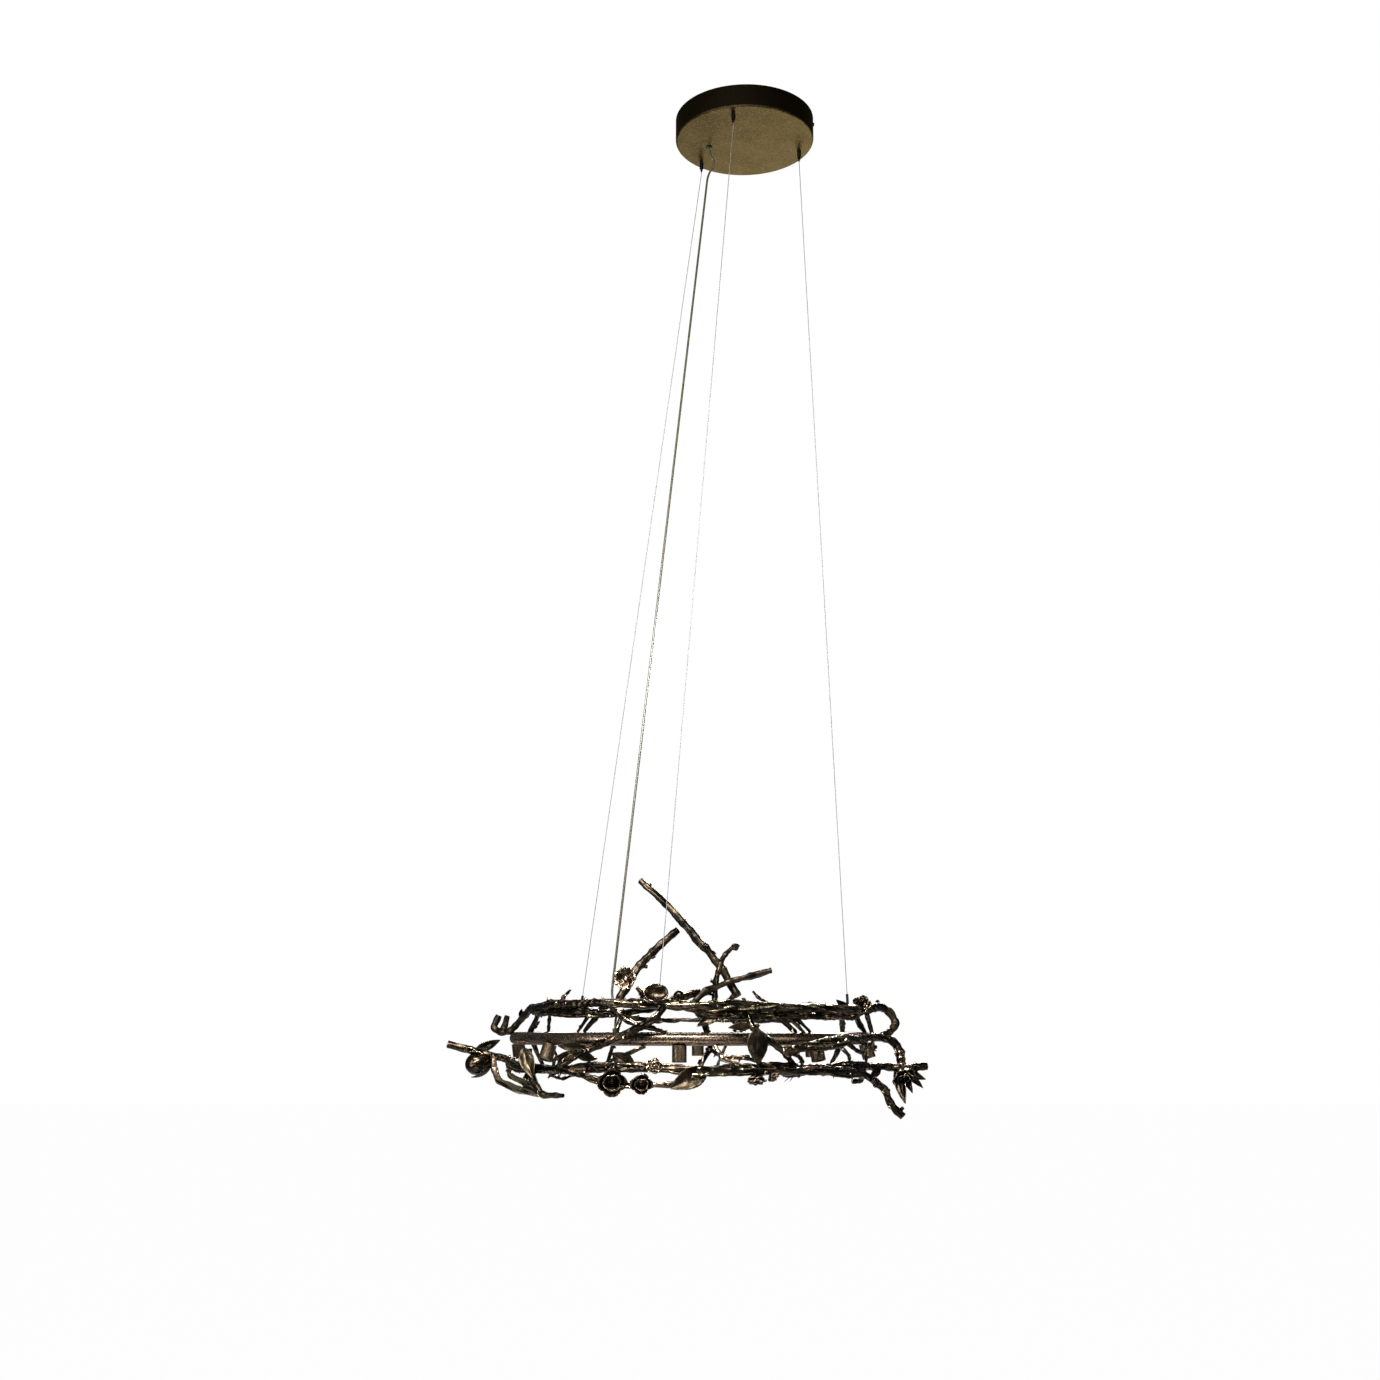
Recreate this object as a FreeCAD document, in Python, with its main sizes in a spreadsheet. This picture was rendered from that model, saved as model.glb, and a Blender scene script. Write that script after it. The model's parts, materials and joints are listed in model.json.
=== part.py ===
# Branch chandelier: a ceiling canopy, three suspension wires and a cord carry a tube ring with
# eight tilting spots, wrapped in two tiers of cast twigs with leaves, flowers and buds.
#
# Frame: the origin is the centre of the canopy's ceiling face, +Z up, +X to the right as the
# chandelier is looked at, +Y away from the viewer.  All lengths are in millimetres.
import FreeCAD
import Part
import math
import os
import Sketcher
from FreeCAD import Placement, Rotation, Vector

doc = FreeCAD.newDocument("branch_chandelier")
sheet = doc.addObject("Spreadsheet::Sheet", "sizes")

SIZES = (
    ("canopy_diameter", 300, "canopy, outside"),
    ("canopy_height", 50, "ceiling to the underside of the canopy"),
    ("canopy_gap", 0.5, "ceiling to the canopy's rim"),
    ("sheet_wall", 1.5, "canopy sheet"),
    ("canopy_edge", 4, "rounding of the canopy's lower edge"),
    ("plate_wall", 2, "ceiling plate sheet"),
    ("plate_flange", 14, "ceiling to the plate's lower edge"),
    ("slip_gap", 0.4, "between the plate's flange and the canopy"),
    ("ceiling_hole", 5.5, "ceiling screw holes"),
    ("ceiling_hole_circle", 200, "circle of the ceiling screw holes"),
    ("supply_hole", 25, "entry of the supply cable"),
    ("side_screw", 4, "side screws, shank"),
    ("side_screw_head", 8, "side screws, head"),
    ("side_screw_head_depth", 2.4, "side screws, thickness of the head"),
    ("side_screw_end", 2, "side screws past the plate's flange"),
    ("side_screw_drop", 8, "ceiling to the side screws"),
    ("screw_gap", 0.15, "round a screw's shank"),
    ("driver_length", 100, "led driver"),
    ("driver_width", 44, "led driver"),
    ("driver_height", 24, "led driver"),
    ("driver_set", 46, "canopy axis to the driver's axis"),
    ("block_length", 40, "terminal block"),
    ("block_width", 18, "terminal block"),
    ("block_height", 15, "terminal block"),
    ("block_set", 42, "canopy axis to the terminal block"),
    ("box_rounding", 2, "upright edges of the driver and the block"),
    ("wire", 1.5, "suspension wire"),
    ("wire_inset", 23, "canopy's outside to a cable gripper's axis"),
    ("wire_lead", 4, "plunger's tip to the wire's bend"),
    ("wire_end", 2, "wire above the gripper's neck"),
    ("wire_gap", 0.3, "round the wire in its gripper"),
    ("wire_bend", 30, "bend of the wire under its gripper"),
    ("gripper", 8.5, "cable gripper, outside"),
    ("gripper_length", 17, "gripper body under the canopy"),
    ("gripper_neck", 6, "gripper's threaded neck"),
    ("neck_rise", 9, "neck above the canopy's underside"),
    ("nut_width", 10, "gripper nut across flats"),
    ("nut_height", 4.5, "gripper nut"),
    ("thread_gap", 0.05, "gripper nut to the neck's thread"),
    ("plunger", 5, "release plunger"),
    ("plunger_out", 8, "plunger below the gripper body"),
    ("plunger_travel", 2.5, "travel of the plunger"),
    ("plunger_gap", 0.1, "round the plunger"),
    ("plunger_bore", 12, "depth of the plunger's bore"),
    ("plunger_rest", 0.3, "pressed plunger to the end of its bore"),
    ("plunger_tip", 3.2, "plunger at its tip"),
    ("plunger_taper", 4, "length of the plunger's tapered tip"),
    ("ferrule", 5.5, "end ferrule of a wire"),
    ("ferrule_length", 28, "ferrule, from the twig's axis"),
    ("cord", 4.5, "power cord"),
    ("cord_gap", 0.15, "round the cord in its glands"),
    ("gland", 10, "canopy gland through the sheet"),
    ("gland_flange", 14, "canopy gland's flange"),
    ("gland_collar", 2, "thickness of the canopy gland's flange"),
    ("gland_rise", 3, "canopy gland above the sheet"),
    ("ring_gland", 9, "gland on the tube ring"),
    ("ring_gland_rise", 19, "tube axis to the top of the ring's gland"),
    ("ring_drop", 1965, "ceiling to the tube ring's axis"),
    ("ring_shift", 120, "tube ring's centre to the left of the canopy's axis"),
    ("ring_radius", 340, "tube ring's centre line"),
    ("tube", 23, "tube ring, outside"),
    ("tube_wall", 1.5, "tube ring's wall"),
    ("upper_tier", 57, "upper tier above the tube's axis"),
    ("lower_tier", 52, "lower tier below the tube's axis"),
    ("spot", 26, "spot housing, outside"),
    ("spot_reach", 40, "tube axis to the spot's mouth"),
    ("spot_top", 11, "tube axis to the top of the housing"),
    ("saddle_gap", 0.6, "tube to the housing's saddle"),
    ("spot_bore", 22, "bore of the spot's mouth"),
    ("spot_bore_depth", 16, "depth of the mouth's bore"),
    ("spot_swing", 30, "tilt of a spot each way, in degrees"),
    ("swivel_neck", 7, "neck between the spot and its shoe"),
    ("swivel_neck_length", 5, "neck between the spot and its shoe"),
    ("swivel_neck_bite", 1, "neck into the spot's saddle"),
    ("slot_gap", 0.35, "neck to the sides of its slot"),
    ("slot_top", 6, "tube axis to the top of the slot"),
    ("shoe_gap", 0.4, "shoe to the tube's bore"),
    ("shoe_length", 14, "swivel shoe"),
    ("shoe_bore", 14, "wire way through the shoe"),
    ("lead_way", 3, "wire way into the housing"),
    ("board_height", 2.5, "led board"),
    ("lens_height", 8, "lens"),
    ("lens_recess", 3, "lens behind the mouth"),
    ("light_gap", 0.2, "round the board and the lens"),
    ("stout", 17, "thickest twigs"),
    ("limb", 14, "thick twigs"),
    ("bough", 12, "middling twigs"),
    ("twig", 10, "thin twigs"),
    ("sprig", 7.5, "thinner twigs"),
    ("stem", 5, "thinnest stems"),
    ("knot_swell", 1.15, "knot's radius over its twig's radius"),
    ("braze_gap", 0.25, "brazed joint between two castings"),
    ("leaf_sheet", 2.4, "thickness of a leaf"),
    ("petal_wall", 2, "rim of a flower's cup"),
    ("flower_stalk", 6, "length of a flower's stalk"),
    ("flower_seat", 4, "twig's axis to the foot of a flower's cup"),
)
for row, (alias, value, meaning) in enumerate(SIZES, start=1):
    sheet.set(f"A{row}", meaning)
    sheet.set(f"B{row}", str(value))
    sheet.setAlias(f"B{row}", alias)
doc.recompute()

WIRE_ANGLES = (17.4, 137.4, 257.4)
SCREW_ANGLES = (0, 120, 240)
SPOT_COUNT = 8
SPOT_ANGLE = -3
SPOT_STEP = 360 / SPOT_COUNT
SPOT_LEANS = (16, 6, 0, 8, -8, 20, 3, 14)

# Where each wire lands: its ring angle and the twig that carries its ferrule.
LANDINGS = ((15, "upper_back_right_branch"), (134, "upper_back_left_branch"),
            (260, "upper_left_under_branch"))
CORD_EXIT = Vector(-77, 25, 0)
CORD_ENTRY_ANGLE = 247

# How far a cut runs past the face it leaves by.
PAST = 1
# An arc of the cord takes this share of its shorter run.
ARC_SHARE = 0.45
# A flower's cup: its foot over its width, and the solid foot over its depth.
CUP_FOOT = 0.22
CUP_FLOOR = 0.35

nodes = []
chains = {}


def size(alias):
    return float(sheet.get(alias))


def bind(feature, **expressions):
    for name, expression in expressions.items():
        feature.setExpression(name, expression)
    return feature


def keep(feature, label):
    feature.Label = label
    nodes.append(feature)
    return feature


# ---------------------------------------------------------------------------------------------
# solids in short


def cylinder(name, radius, height, place=None):
    feature = doc.addObject("Part::Cylinder", name)
    bind(feature, Radius=radius, Height=height)
    feature.Placement = place or Placement()
    return feature


def cone(name, low, high, height, place=None):
    feature = doc.addObject("Part::Cone", name)
    bind(feature, Radius1=low, Radius2=high, Height=height)
    feature.Placement = place or Placement()
    return feature


def sphere(name, radius, centre, poles=Vector(0, 0, 1)):
    feature = doc.addObject("Part::Sphere", name)
    bind(feature, Radius=radius)
    feature.Placement = Placement(centre, Rotation(Vector(0, 0, 1), poles))
    return feature


def fuse(name, features):
    if len(features) == 1:
        return features[0]
    feature = doc.addObject("Part::MultiFuse", name)
    feature.Shapes = features
    return feature


def cut(name, base, tool):
    feature = doc.addObject("Part::Cut", name)
    feature.Base = base
    feature.Tool = tool
    return feature


def group(name, features):
    feature = doc.addObject("Part::Compound", name)
    feature.Links = features
    return feature


def raised(height, turn=0):
    return Placement(Vector(0, 0, height), Rotation(Vector(0, 0, 1), turn))


# ---------------------------------------------------------------------------------------------
# sketched bodies in short


def new_body(name):
    return keep(doc.addObject("PartDesign::Body", name), name)


def origin_feature(body, role):
    return next(feature for feature in body.Origin.OriginFeatures if feature.Role == role)


def new_sketch(body, name, across="0", along="0", lift="0", role="XY_Plane"):
    sketch = body.newObject("Sketcher::SketchObject", name)
    sketch.AttachmentSupport = [(origin_feature(body, role), "")]
    sketch.MapMode = "FlatFace"
    sketch.setExpression("AttachmentOffset.Base.x", across)
    sketch.setExpression("AttachmentOffset.Base.y", along)
    sketch.setExpression("AttachmentOffset.Base.z", lift)
    return sketch


def draw_circle(sketch, radius):
    index = sketch.addGeometry(Part.Circle(Vector(), Vector(0, 0, 1), 1), False)
    sketch.addConstraint(Sketcher.Constraint("Coincident", index, 3, -1, 1))
    rule = sketch.addConstraint(Sketcher.Constraint("Radius", index, 1))
    sketch.setExpression(f"Constraints[{rule}]", radius)


def draw_rectangle(sketch, length, width):
    corners = (Vector(-1, -1, 0), Vector(1, -1, 0), Vector(1, 1, 0), Vector(-1, 1, 0))
    for start, end in zip(corners, corners[1:] + corners[:1]):
        sketch.addGeometry(Part.LineSegment(start, end), False)
    for side in range(4):
        sketch.addConstraint(Sketcher.Constraint("Coincident", side, 2, (side + 1) % 4, 1))
    for side, kind in enumerate(("Horizontal", "Vertical", "Horizontal", "Vertical")):
        sketch.addConstraint(Sketcher.Constraint(kind, side))
    sketch.addConstraint(Sketcher.Constraint("Symmetric", 0, 1, 1, 2, -1, 1))
    across = sketch.addConstraint(Sketcher.Constraint("DistanceX", 0, 1, 0, 2, 2))
    sketch.setExpression(f"Constraints[{across}]", length)
    along = sketch.addConstraint(Sketcher.Constraint("DistanceY", 1, 1, 1, 2, 2))
    sketch.setExpression(f"Constraints[{along}]", width)


def pad(body, name, sketch, length, down=True):
    feature = body.newObject("PartDesign::Pad", name)
    feature.Profile = sketch
    feature.Reversed = down
    feature.setExpression("Length", length)
    doc.recompute()
    return feature


def pocket(body, name, sketch, length, up=False):
    feature = body.newObject("PartDesign::Pocket", name)
    feature.Profile = sketch
    feature.Reversed = up
    feature.setExpression("Length", length)
    doc.recompute()
    return feature


def around(body, name, feature, count):
    pattern = body.newObject("PartDesign::PolarPattern", name)
    pattern.Originals = [feature]
    pattern.Axis = (origin_feature(body, "Z_Axis"), [""])
    pattern.Angle = 360
    pattern.Occurrences = count
    body.Tip = pattern
    doc.recompute()


# ---------------------------------------------------------------------------------------------
# places


def polar(angle, radius, height=0):
    turn = math.radians(angle)
    return Vector(radius * math.cos(turn), radius * math.sin(turn), height)


# A point of the ring: angle seen from above, distance outside and height above the tube's axis.
def ring_point(angle, out, up):
    centre = Vector(-size("ring_shift"), 0, -size("ring_drop"))
    return centre + polar(angle, size("ring_radius") + out, up)


def upper(angle, out, rise=0):
    return ring_point(angle, out, size("upper_tier") + rise)


def lower(angle, out, rise=0):
    return ring_point(angle, out, rise - size("lower_tier"))


# A twig's axis where it lies on the tube: "round" turns from the tube's top to its outside.
def on_tube(angle, round_turn, thickness, bite=1.2):
    reach = (size("tube") + size(thickness)) / 2 - bite
    turn = math.radians(round_turn)
    return ring_point(angle, reach * math.sin(turn), reach * math.cos(turn))


def gripper_point(angle, height):
    return polar(angle, size("canopy_diameter") / 2 - size("wire_inset"), height)


def ring_angle(point):
    return math.degrees(math.atan2(point.y, point.x + size("ring_shift"))) % 360


# The point where a twig's axis passes an angle of the ring.
def along(name, angle):
    joints = [joint for joint, _, _ in chains[name]]
    for start, end in zip(joints, joints[1:]):
        before = (ring_angle(start) - angle + 180) % 360 - 180
        after = (ring_angle(end) - angle + 180) % 360 - 180
        if before * after <= 0 and abs(before - after) < 90:
            share = before / (before - after)
            return start + (end - start) * share
    raise ValueError(f"{name} doesn't pass {angle} degrees")


# A share of the way along one straight of a twig's axis.
def partway(name, straight, share):
    start = chains[name][straight][0]
    end = chains[name][straight + 1][0]
    return start + (end - start) * share


# Moves a point outward and upward as the ring sees it.
def shifted(point, out, up):
    direction = polar(ring_angle(point), 1)
    return point + direction * out + Vector(0, 0, up)


# ---------------------------------------------------------------------------------------------
# twigs: straights between knots, tapering from one thickness to another


# A knot's poles lie along its twig, inside the straights on both sides of it.
def chain_pieces(name, joints, gap=""):
    pieces = []
    for (start, low, _), (end, high, _) in zip(joints, joints[1:]):
        place = Placement(start, Rotation(Vector(0, 0, 1), end - start))
        height = repr((end - start).Length)
        if low == high:
            pieces.append(cylinder(f"{name}_straight", low + gap, height, place))
        else:
            pieces.append(cone(f"{name}_straight", low + gap, high + gap, height, place))
    for index, (joint, radius, swollen) in enumerate(joints):
        if swollen:
            before = joints[max(index - 1, 0)][0]
            after = joints[min(index + 1, len(joints) - 1)][0]
            pieces.append(sphere(f"{name}_knot", f"{radius} * sizes.knot_swell{gap}", joint,
                                 after - before))
    return pieces


def gap_between(first, second):
    closest = None
    for start, end in zip(first, first[1:]):
        for other_start, other_end in zip(second, second[1:]):
            near = Part.makeLine(start[0], end[0]).distToShape(
                Part.makeLine(other_start[0], other_end[0]))[0]
            closest = near if closest is None else min(closest, near)
    return closest


# The part of a host twig that lies near a guest, larger by the brazed joint's gap.
def host_tool(name, host, guest, reach):
    near = size("stout") + size("braze_gap") + reach
    close = []
    for index in range(len(chains[host]) - 1):
        straight = chains[host][index:index + 2]
        if gap_between(straight, guest) < near:
            close.append(index)
    if not close:
        raise ValueError(f"{name} doesn't reach {host}")
    joints = chains[host][close[0]:close[-1] + 2]
    return chain_pieces(f"{name}_{host}_gap", joints, " + sizes.braze_gap")


def tube_tool(name):
    feature = doc.addObject("Part::Torus", f"{name}_tube_gap")
    bind(feature, Radius1="sizes.ring_radius", Radius2="sizes.tube / 2 + sizes.braze_gap")
    feature.Placement = Placement(ring_point(0, -size("ring_radius"), 0), Rotation())
    return feature


def cope(name, feature, guest, hosts, reach=0):
    tools = []
    for host in hosts:
        if host == "tube":
            tools.append(tube_tool(name))
        else:
            tools.extend(host_tool(name, host, guest, reach))
    return cut(f"{name}_coped", feature, fuse(f"{name}_gaps", tools))


# Grows a twig along its axis.  Its first and last points have a knot only where "tips" says so.
def grow(name, points, start, end, hosts=(), tips=(False, False)):
    last = len(points) - 1
    joints = []
    for index, point in enumerate(points):
        if start == end:
            radius = f"sizes.{start} / 2"
        else:
            radius = f"(sizes.{start} * {last - index} + sizes.{end} * {index}) / {2 * last}"
        swollen = tips[0] if index == 0 else tips[1] if index == last else True
        joints.append((point, radius, swollen))
    chains[name] = joints
    feature = fuse(f"{name}_whole", chain_pieces(name, joints))
    if hosts:
        feature = cope(name, feature, joints, hosts)
    return feature


# ---------------------------------------------------------------------------------------------
# wires and cord: round tubes along straight runs joined by tangent arcs


def rounded_path(points, bend=None):
    edges = []
    radii = []
    start = points[0]
    for before, corner, after in zip(points, points[1:], points[2:]):
        inward = (corner - before).normalize()
        onward = (after - corner).normalize()
        half_turn = inward.getAngle(onward) / 2
        shorter = min((corner - before).Length, (after - corner).Length)
        radius = bend or ARC_SHARE * shorter / math.tan(half_turn)
        setback = radius * math.tan(half_turn)
        middle = (onward - inward).normalize()
        centre = corner + middle * (radius / math.cos(half_turn))
        arc_start = corner - inward * setback
        arc_end = corner + onward * setback
        arc_middle = centre - middle * radius
        edges.append(Part.LineSegment(start, arc_start).toShape())
        edges.append(Part.Arc(arc_start, arc_middle, arc_end).toShape())
        radii.append(radius)
        start = arc_end
    edges.append(Part.LineSegment(start, points[-1]).toShape())
    return Part.Wire(edges), radii


def round_tube(name, points, diameter, bend=None):
    path, radii = rounded_path(points, bend)
    circle = Part.Circle(points[0], points[1] - points[0], diameter / 2).toShape()
    shape = path.makePipeShell([Part.Wire([circle])], True, False)
    section = math.pi * diameter ** 2 / 4
    print(name, "radii", [round(radius, 1) for radius in radii],
          "length", round(path.Length, 1), "volume ratio", round(shape.Volume / section / path.Length, 4))
    feature = doc.addObject("Part::Feature", name)
    feature.Shape = shape
    feature.Placement = Placement()
    return feature


# ---------------------------------------------------------------------------------------------
# canopy and what it holds


def make_ceiling_plate():
    body = new_body("ceiling_plate")
    outer = "sizes.canopy_diameter / 2 - sizes.sheet_wall - sizes.slip_gap"
    disc = new_sketch(body, "plate_outline")
    draw_circle(disc, outer)
    pad(body, "plate_disc", disc, "sizes.plate_flange")
    hollow = new_sketch(body, "plate_hollow_outline", lift="-sizes.plate_flange")
    draw_circle(hollow, f"{outer} - sizes.plate_wall")
    pocket(body, "plate_hollow", hollow, "sizes.plate_flange - sizes.plate_wall", up=True)
    supply = new_sketch(body, "supply_outline")
    draw_circle(supply, "sizes.supply_hole / 2")
    pocket(body, "supply_entry", supply, "sizes.plate_wall")
    corner = "sizes.ceiling_hole_circle / 2 * sqrt(0.5)"
    ceiling = new_sketch(body, "ceiling_hole_outline", corner, corner)
    draw_circle(ceiling, "sizes.ceiling_hole / 2")
    around(body, "ceiling_holes", pocket(body, "ceiling_hole", ceiling, "sizes.plate_wall"), 4)
    make_side_holes(body, "flange")


def make_side_holes(body, name):
    outline = new_sketch(body, f"{name}_side_outline", "0", "-sizes.side_screw_drop", "0", "YZ_Plane")
    draw_circle(outline, "sizes.side_screw / 2 + sizes.screw_gap")
    reach = f"sizes.canopy_diameter / 2 + {PAST}"
    hole = pocket(body, f"{name}_side_hole", outline, reach, up=True)
    around(body, f"{name}_side_holes", hole, len(SCREW_ANGLES))


def make_canopy_shell():
    body = new_body("canopy_shell")
    outline = new_sketch(body, "canopy_outline", lift="-sizes.canopy_gap")
    draw_circle(outline, "sizes.canopy_diameter / 2")
    drum = pad(body, "canopy_drum", outline, "sizes.canopy_height - sizes.canopy_gap")
    bottom = -size("canopy_height")
    edge = next(f"Edge{index}" for index, edge in enumerate(drum.Shape.Edges, start=1)
                if abs(edge.BoundBox.ZMax - bottom) < 0.001)
    rim = body.newObject("PartDesign::Fillet", "canopy_lower_edge")
    rim.Base = (drum, [edge])
    rim.setExpression("Radius", "sizes.canopy_edge")
    doc.recompute()
    hollow = new_sketch(body, "canopy_hollow_outline", lift="-sizes.canopy_gap")
    draw_circle(hollow, "sizes.canopy_diameter / 2 - sizes.sheet_wall")
    inside = "sizes.canopy_height - sizes.canopy_gap"
    pocket(body, "canopy_hollow", hollow, f"{inside} - sizes.canopy_edge")
    floor = new_sketch(body, "canopy_floor_outline", lift="-sizes.canopy_gap")
    draw_circle(floor, "sizes.canopy_diameter / 2 - sizes.canopy_edge")
    pocket(body, "canopy_floor", floor, f"{inside} - sizes.sheet_wall")
    for angle in WIRE_ANGLES:
        reach = "(sizes.canopy_diameter / 2 - sizes.wire_inset)"
        outline = new_sketch(body, "gripper_hole_outline", f"{reach} * cos({angle} deg)",
                             f"{reach} * sin({angle} deg)")
        draw_circle(outline, "sizes.gripper_neck / 2 + sizes.screw_gap")
        pocket(body, "gripper_hole", outline, "sizes.canopy_height")
    cord = new_sketch(body, "gland_hole_outline", str(CORD_EXIT.x), str(CORD_EXIT.y))
    draw_circle(cord, "sizes.gland / 2 + sizes.screw_gap")
    pocket(body, "gland_hole", cord, "sizes.canopy_height")
    make_side_holes(body, "canopy")


def make_side_screws():
    shank_length = "sizes.sheet_wall + sizes.slip_gap + sizes.plate_wall + sizes.side_screw_end"
    screws = []
    for angle in SCREW_ANGLES:
        seat = polar(angle, size("canopy_diameter") / 2, -size("side_screw_drop"))
        outward = Rotation(Vector(0, 0, 1), polar(angle, 1))
        inward = Rotation(Vector(0, 0, 1), polar(angle + 180, 1))
        shank = cylinder("side_screw_shank", "sizes.side_screw / 2", shank_length,
                         Placement(seat, inward))
        head = cylinder("side_screw_head", "sizes.side_screw_head / 2",
                        "sizes.side_screw_head_depth", Placement(seat, outward))
        screws.append(fuse("side_screw", [shank, head]))
    keep(group("side_screws", screws), "side_screws")


def make_block(name, length, width, height, across, along_set):
    body = new_body(name)
    outline = new_sketch(body, f"{name}_outline", across, along_set, "-sizes.plate_wall")
    draw_rectangle(outline, length, width)
    block = pad(body, f"{name}_solid", outline, height)
    upright = [f"Edge{index}" for index, edge in enumerate(block.Shape.Edges, start=1)
               if edge.BoundBox.ZLength > edge.Length / 2]
    rounding = body.newObject("PartDesign::Fillet", f"{name}_corners")
    rounding.Base = (block, upright)
    rounding.setExpression("Radius", "sizes.box_rounding")
    doc.recompute()


def make_grippers():
    bodies = []
    nuts = []
    for letter, angle in zip("abc", WIRE_ANGLES):
        bottom = -size("canopy_height")
        low = bottom - size("gripper_length")
        foot = gripper_point(angle, low)
        barrel = cylinder("gripper_barrel", "sizes.gripper / 2", "sizes.gripper_length",
                          Placement(foot, Rotation()))
        neck = cylinder("gripper_neck", "sizes.gripper_neck / 2",
                        "sizes.gripper_length + sizes.neck_rise", Placement(foot, Rotation()))
        way = cylinder("gripper_wire_way", "sizes.wire / 2 + sizes.wire_gap",
                       "sizes.gripper_length + sizes.neck_rise", Placement(foot, Rotation()))
        bore = cylinder("gripper_bore", "sizes.plunger / 2 + sizes.plunger_gap",
                        "sizes.plunger_bore", Placement(foot, Rotation()))
        whole = fuse("gripper_whole", [barrel, neck])
        bodies.append(cut("gripper_body", whole, fuse("gripper_ways", [way, bore])))

        seat = gripper_point(angle, bottom + size("sheet_wall"))
        nut = doc.addObject("Part::Prism", "gripper_nut_hexagon")
        nut.Polygon = 6
        bind(nut, Circumradius="sizes.nut_width / 2 / cos(30 deg)", Height="sizes.nut_height")
        nut.Placement = Placement(seat, Rotation())
        thread = cylinder("gripper_nut_thread", "sizes.gripper_neck / 2 + sizes.thread_gap",
                          "sizes.nut_height", Placement(seat, Rotation()))
        nuts.append(cut("gripper_nut", nut, thread))

        tip = gripper_point(angle, low - size("plunger_out"))
        taper = cone("plunger_taper", "sizes.plunger_tip / 2", "sizes.plunger / 2",
                     "sizes.plunger_taper", Placement(tip, Rotation()))
        outside = "sizes.plunger_out - sizes.plunger_taper"
        inside = "sizes.plunger_bore - sizes.plunger_travel - sizes.plunger_rest"
        shaft = cylinder("plunger_shaft", "sizes.plunger / 2", f"{outside} + {inside}",
                         Placement(tip + Vector(0, 0, size("plunger_taper")), Rotation()))
        hole = cylinder("plunger_wire_way", "sizes.wire / 2 + sizes.wire_gap",
                        "sizes.plunger_out + sizes.plunger_bore", Placement(tip, Rotation()))
        plunger = cut(f"gripper_plunger_{letter}", fuse("plunger_whole", [taper, shaft]), hole)
        keep(plunger, f"gripper_plunger_{letter}")
    keep(group("gripper_bodies", bodies), "gripper_bodies")
    keep(group("gripper_nuts", nuts), "gripper_nuts")


def make_canopy_gland():
    seat = Vector(CORD_EXIT.x, CORD_EXIT.y, -size("canopy_height"))
    foot = seat - Vector(0, 0, size("gland_collar"))
    rise = "sizes.sheet_wall + sizes.gland_rise"
    inside = cylinder("canopy_gland_sleeve", "sizes.gland / 2", rise, Placement(seat, Rotation()))
    collar = cylinder("canopy_gland_collar", "sizes.gland_flange / 2", "sizes.gland_collar",
                      Placement(foot, Rotation()))
    way = cylinder("canopy_gland_way", "sizes.cord / 2 + sizes.cord_gap",
                   f"{rise} + sizes.gland_collar", Placement(foot, Rotation()))
    whole = fuse("canopy_gland_whole", [inside, collar])
    keep(cut("canopy_gland_bored", whole, way), "canopy_gland")


# ---------------------------------------------------------------------------------------------
# tube ring and its spots


def spot_place(index):
    angle = SPOT_ANGLE + SPOT_STEP * index
    turn = Rotation(Vector(0, 0, 1), angle)
    lean = Rotation(Vector(0, 1, 0), -SPOT_LEANS[index])
    return ring_point(angle, 0, 0), turn, turn.multiply(lean)


def make_ring_tube():
    outside = doc.addObject("Part::Torus", "tube_outside")
    bind(outside, Radius1="sizes.ring_radius", Radius2="sizes.tube / 2")
    inside = doc.addObject("Part::Torus", "tube_inside")
    bind(inside, Radius1="sizes.ring_radius", Radius2="sizes.tube / 2 - sizes.tube_wall")
    for feature in (outside, inside):
        feature.Placement = Placement(ring_point(0, -size("ring_radius"), 0), Rotation())
    half_span = "(sizes.tube / 2 * sin(sizes.spot_swing * 1 deg) + sizes.swivel_neck / 2)"
    ways = []
    for index in range(SPOT_COUNT):
        point, turn, _ = spot_place(index)
        slot = doc.addObject("Part::Box", "spot_slot")
        bind(slot, Length=f"{half_span} * 2", Width="sizes.swivel_neck + sizes.slot_gap * 2",
             Height=f"sizes.tube / 2 + {PAST} - sizes.slot_top")
        doc.recompute([slot])
        corner = Vector(-slot.Length.Value / 2, -slot.Width.Value / 2, -size("tube") / 2 - PAST)
        slot.Placement = Placement(point + turn.multVec(corner), turn)
        ways.append(slot)
    ways.append(cylinder("cord_entry", "sizes.cord / 2 + sizes.cord_gap", "sizes.tube",
                         Placement(ring_point(CORD_ENTRY_ANGLE, 0, 0), Rotation())))
    hollow = cut("tube_hollow", outside, inside)
    keep(cut("tube_with_ways", hollow, fuse("tube_ways", ways)), "ring_tube")


def make_ring_gland():
    foot = ring_point(CORD_ENTRY_ANGLE, 0, 0)
    collar = cylinder("ring_gland_collar", "sizes.ring_gland / 2", "sizes.ring_gland_rise",
                      Placement(foot, Rotation()))
    way = cylinder("ring_gland_way", "sizes.cord / 2 + sizes.cord_gap", "sizes.ring_gland_rise",
                   Placement(foot, Rotation()))
    keep(cut("ring_gland_seated", collar, fuse("ring_gland_gaps", [way, tube_tool("ring_gland")])),
         "ring_gland")


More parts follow.
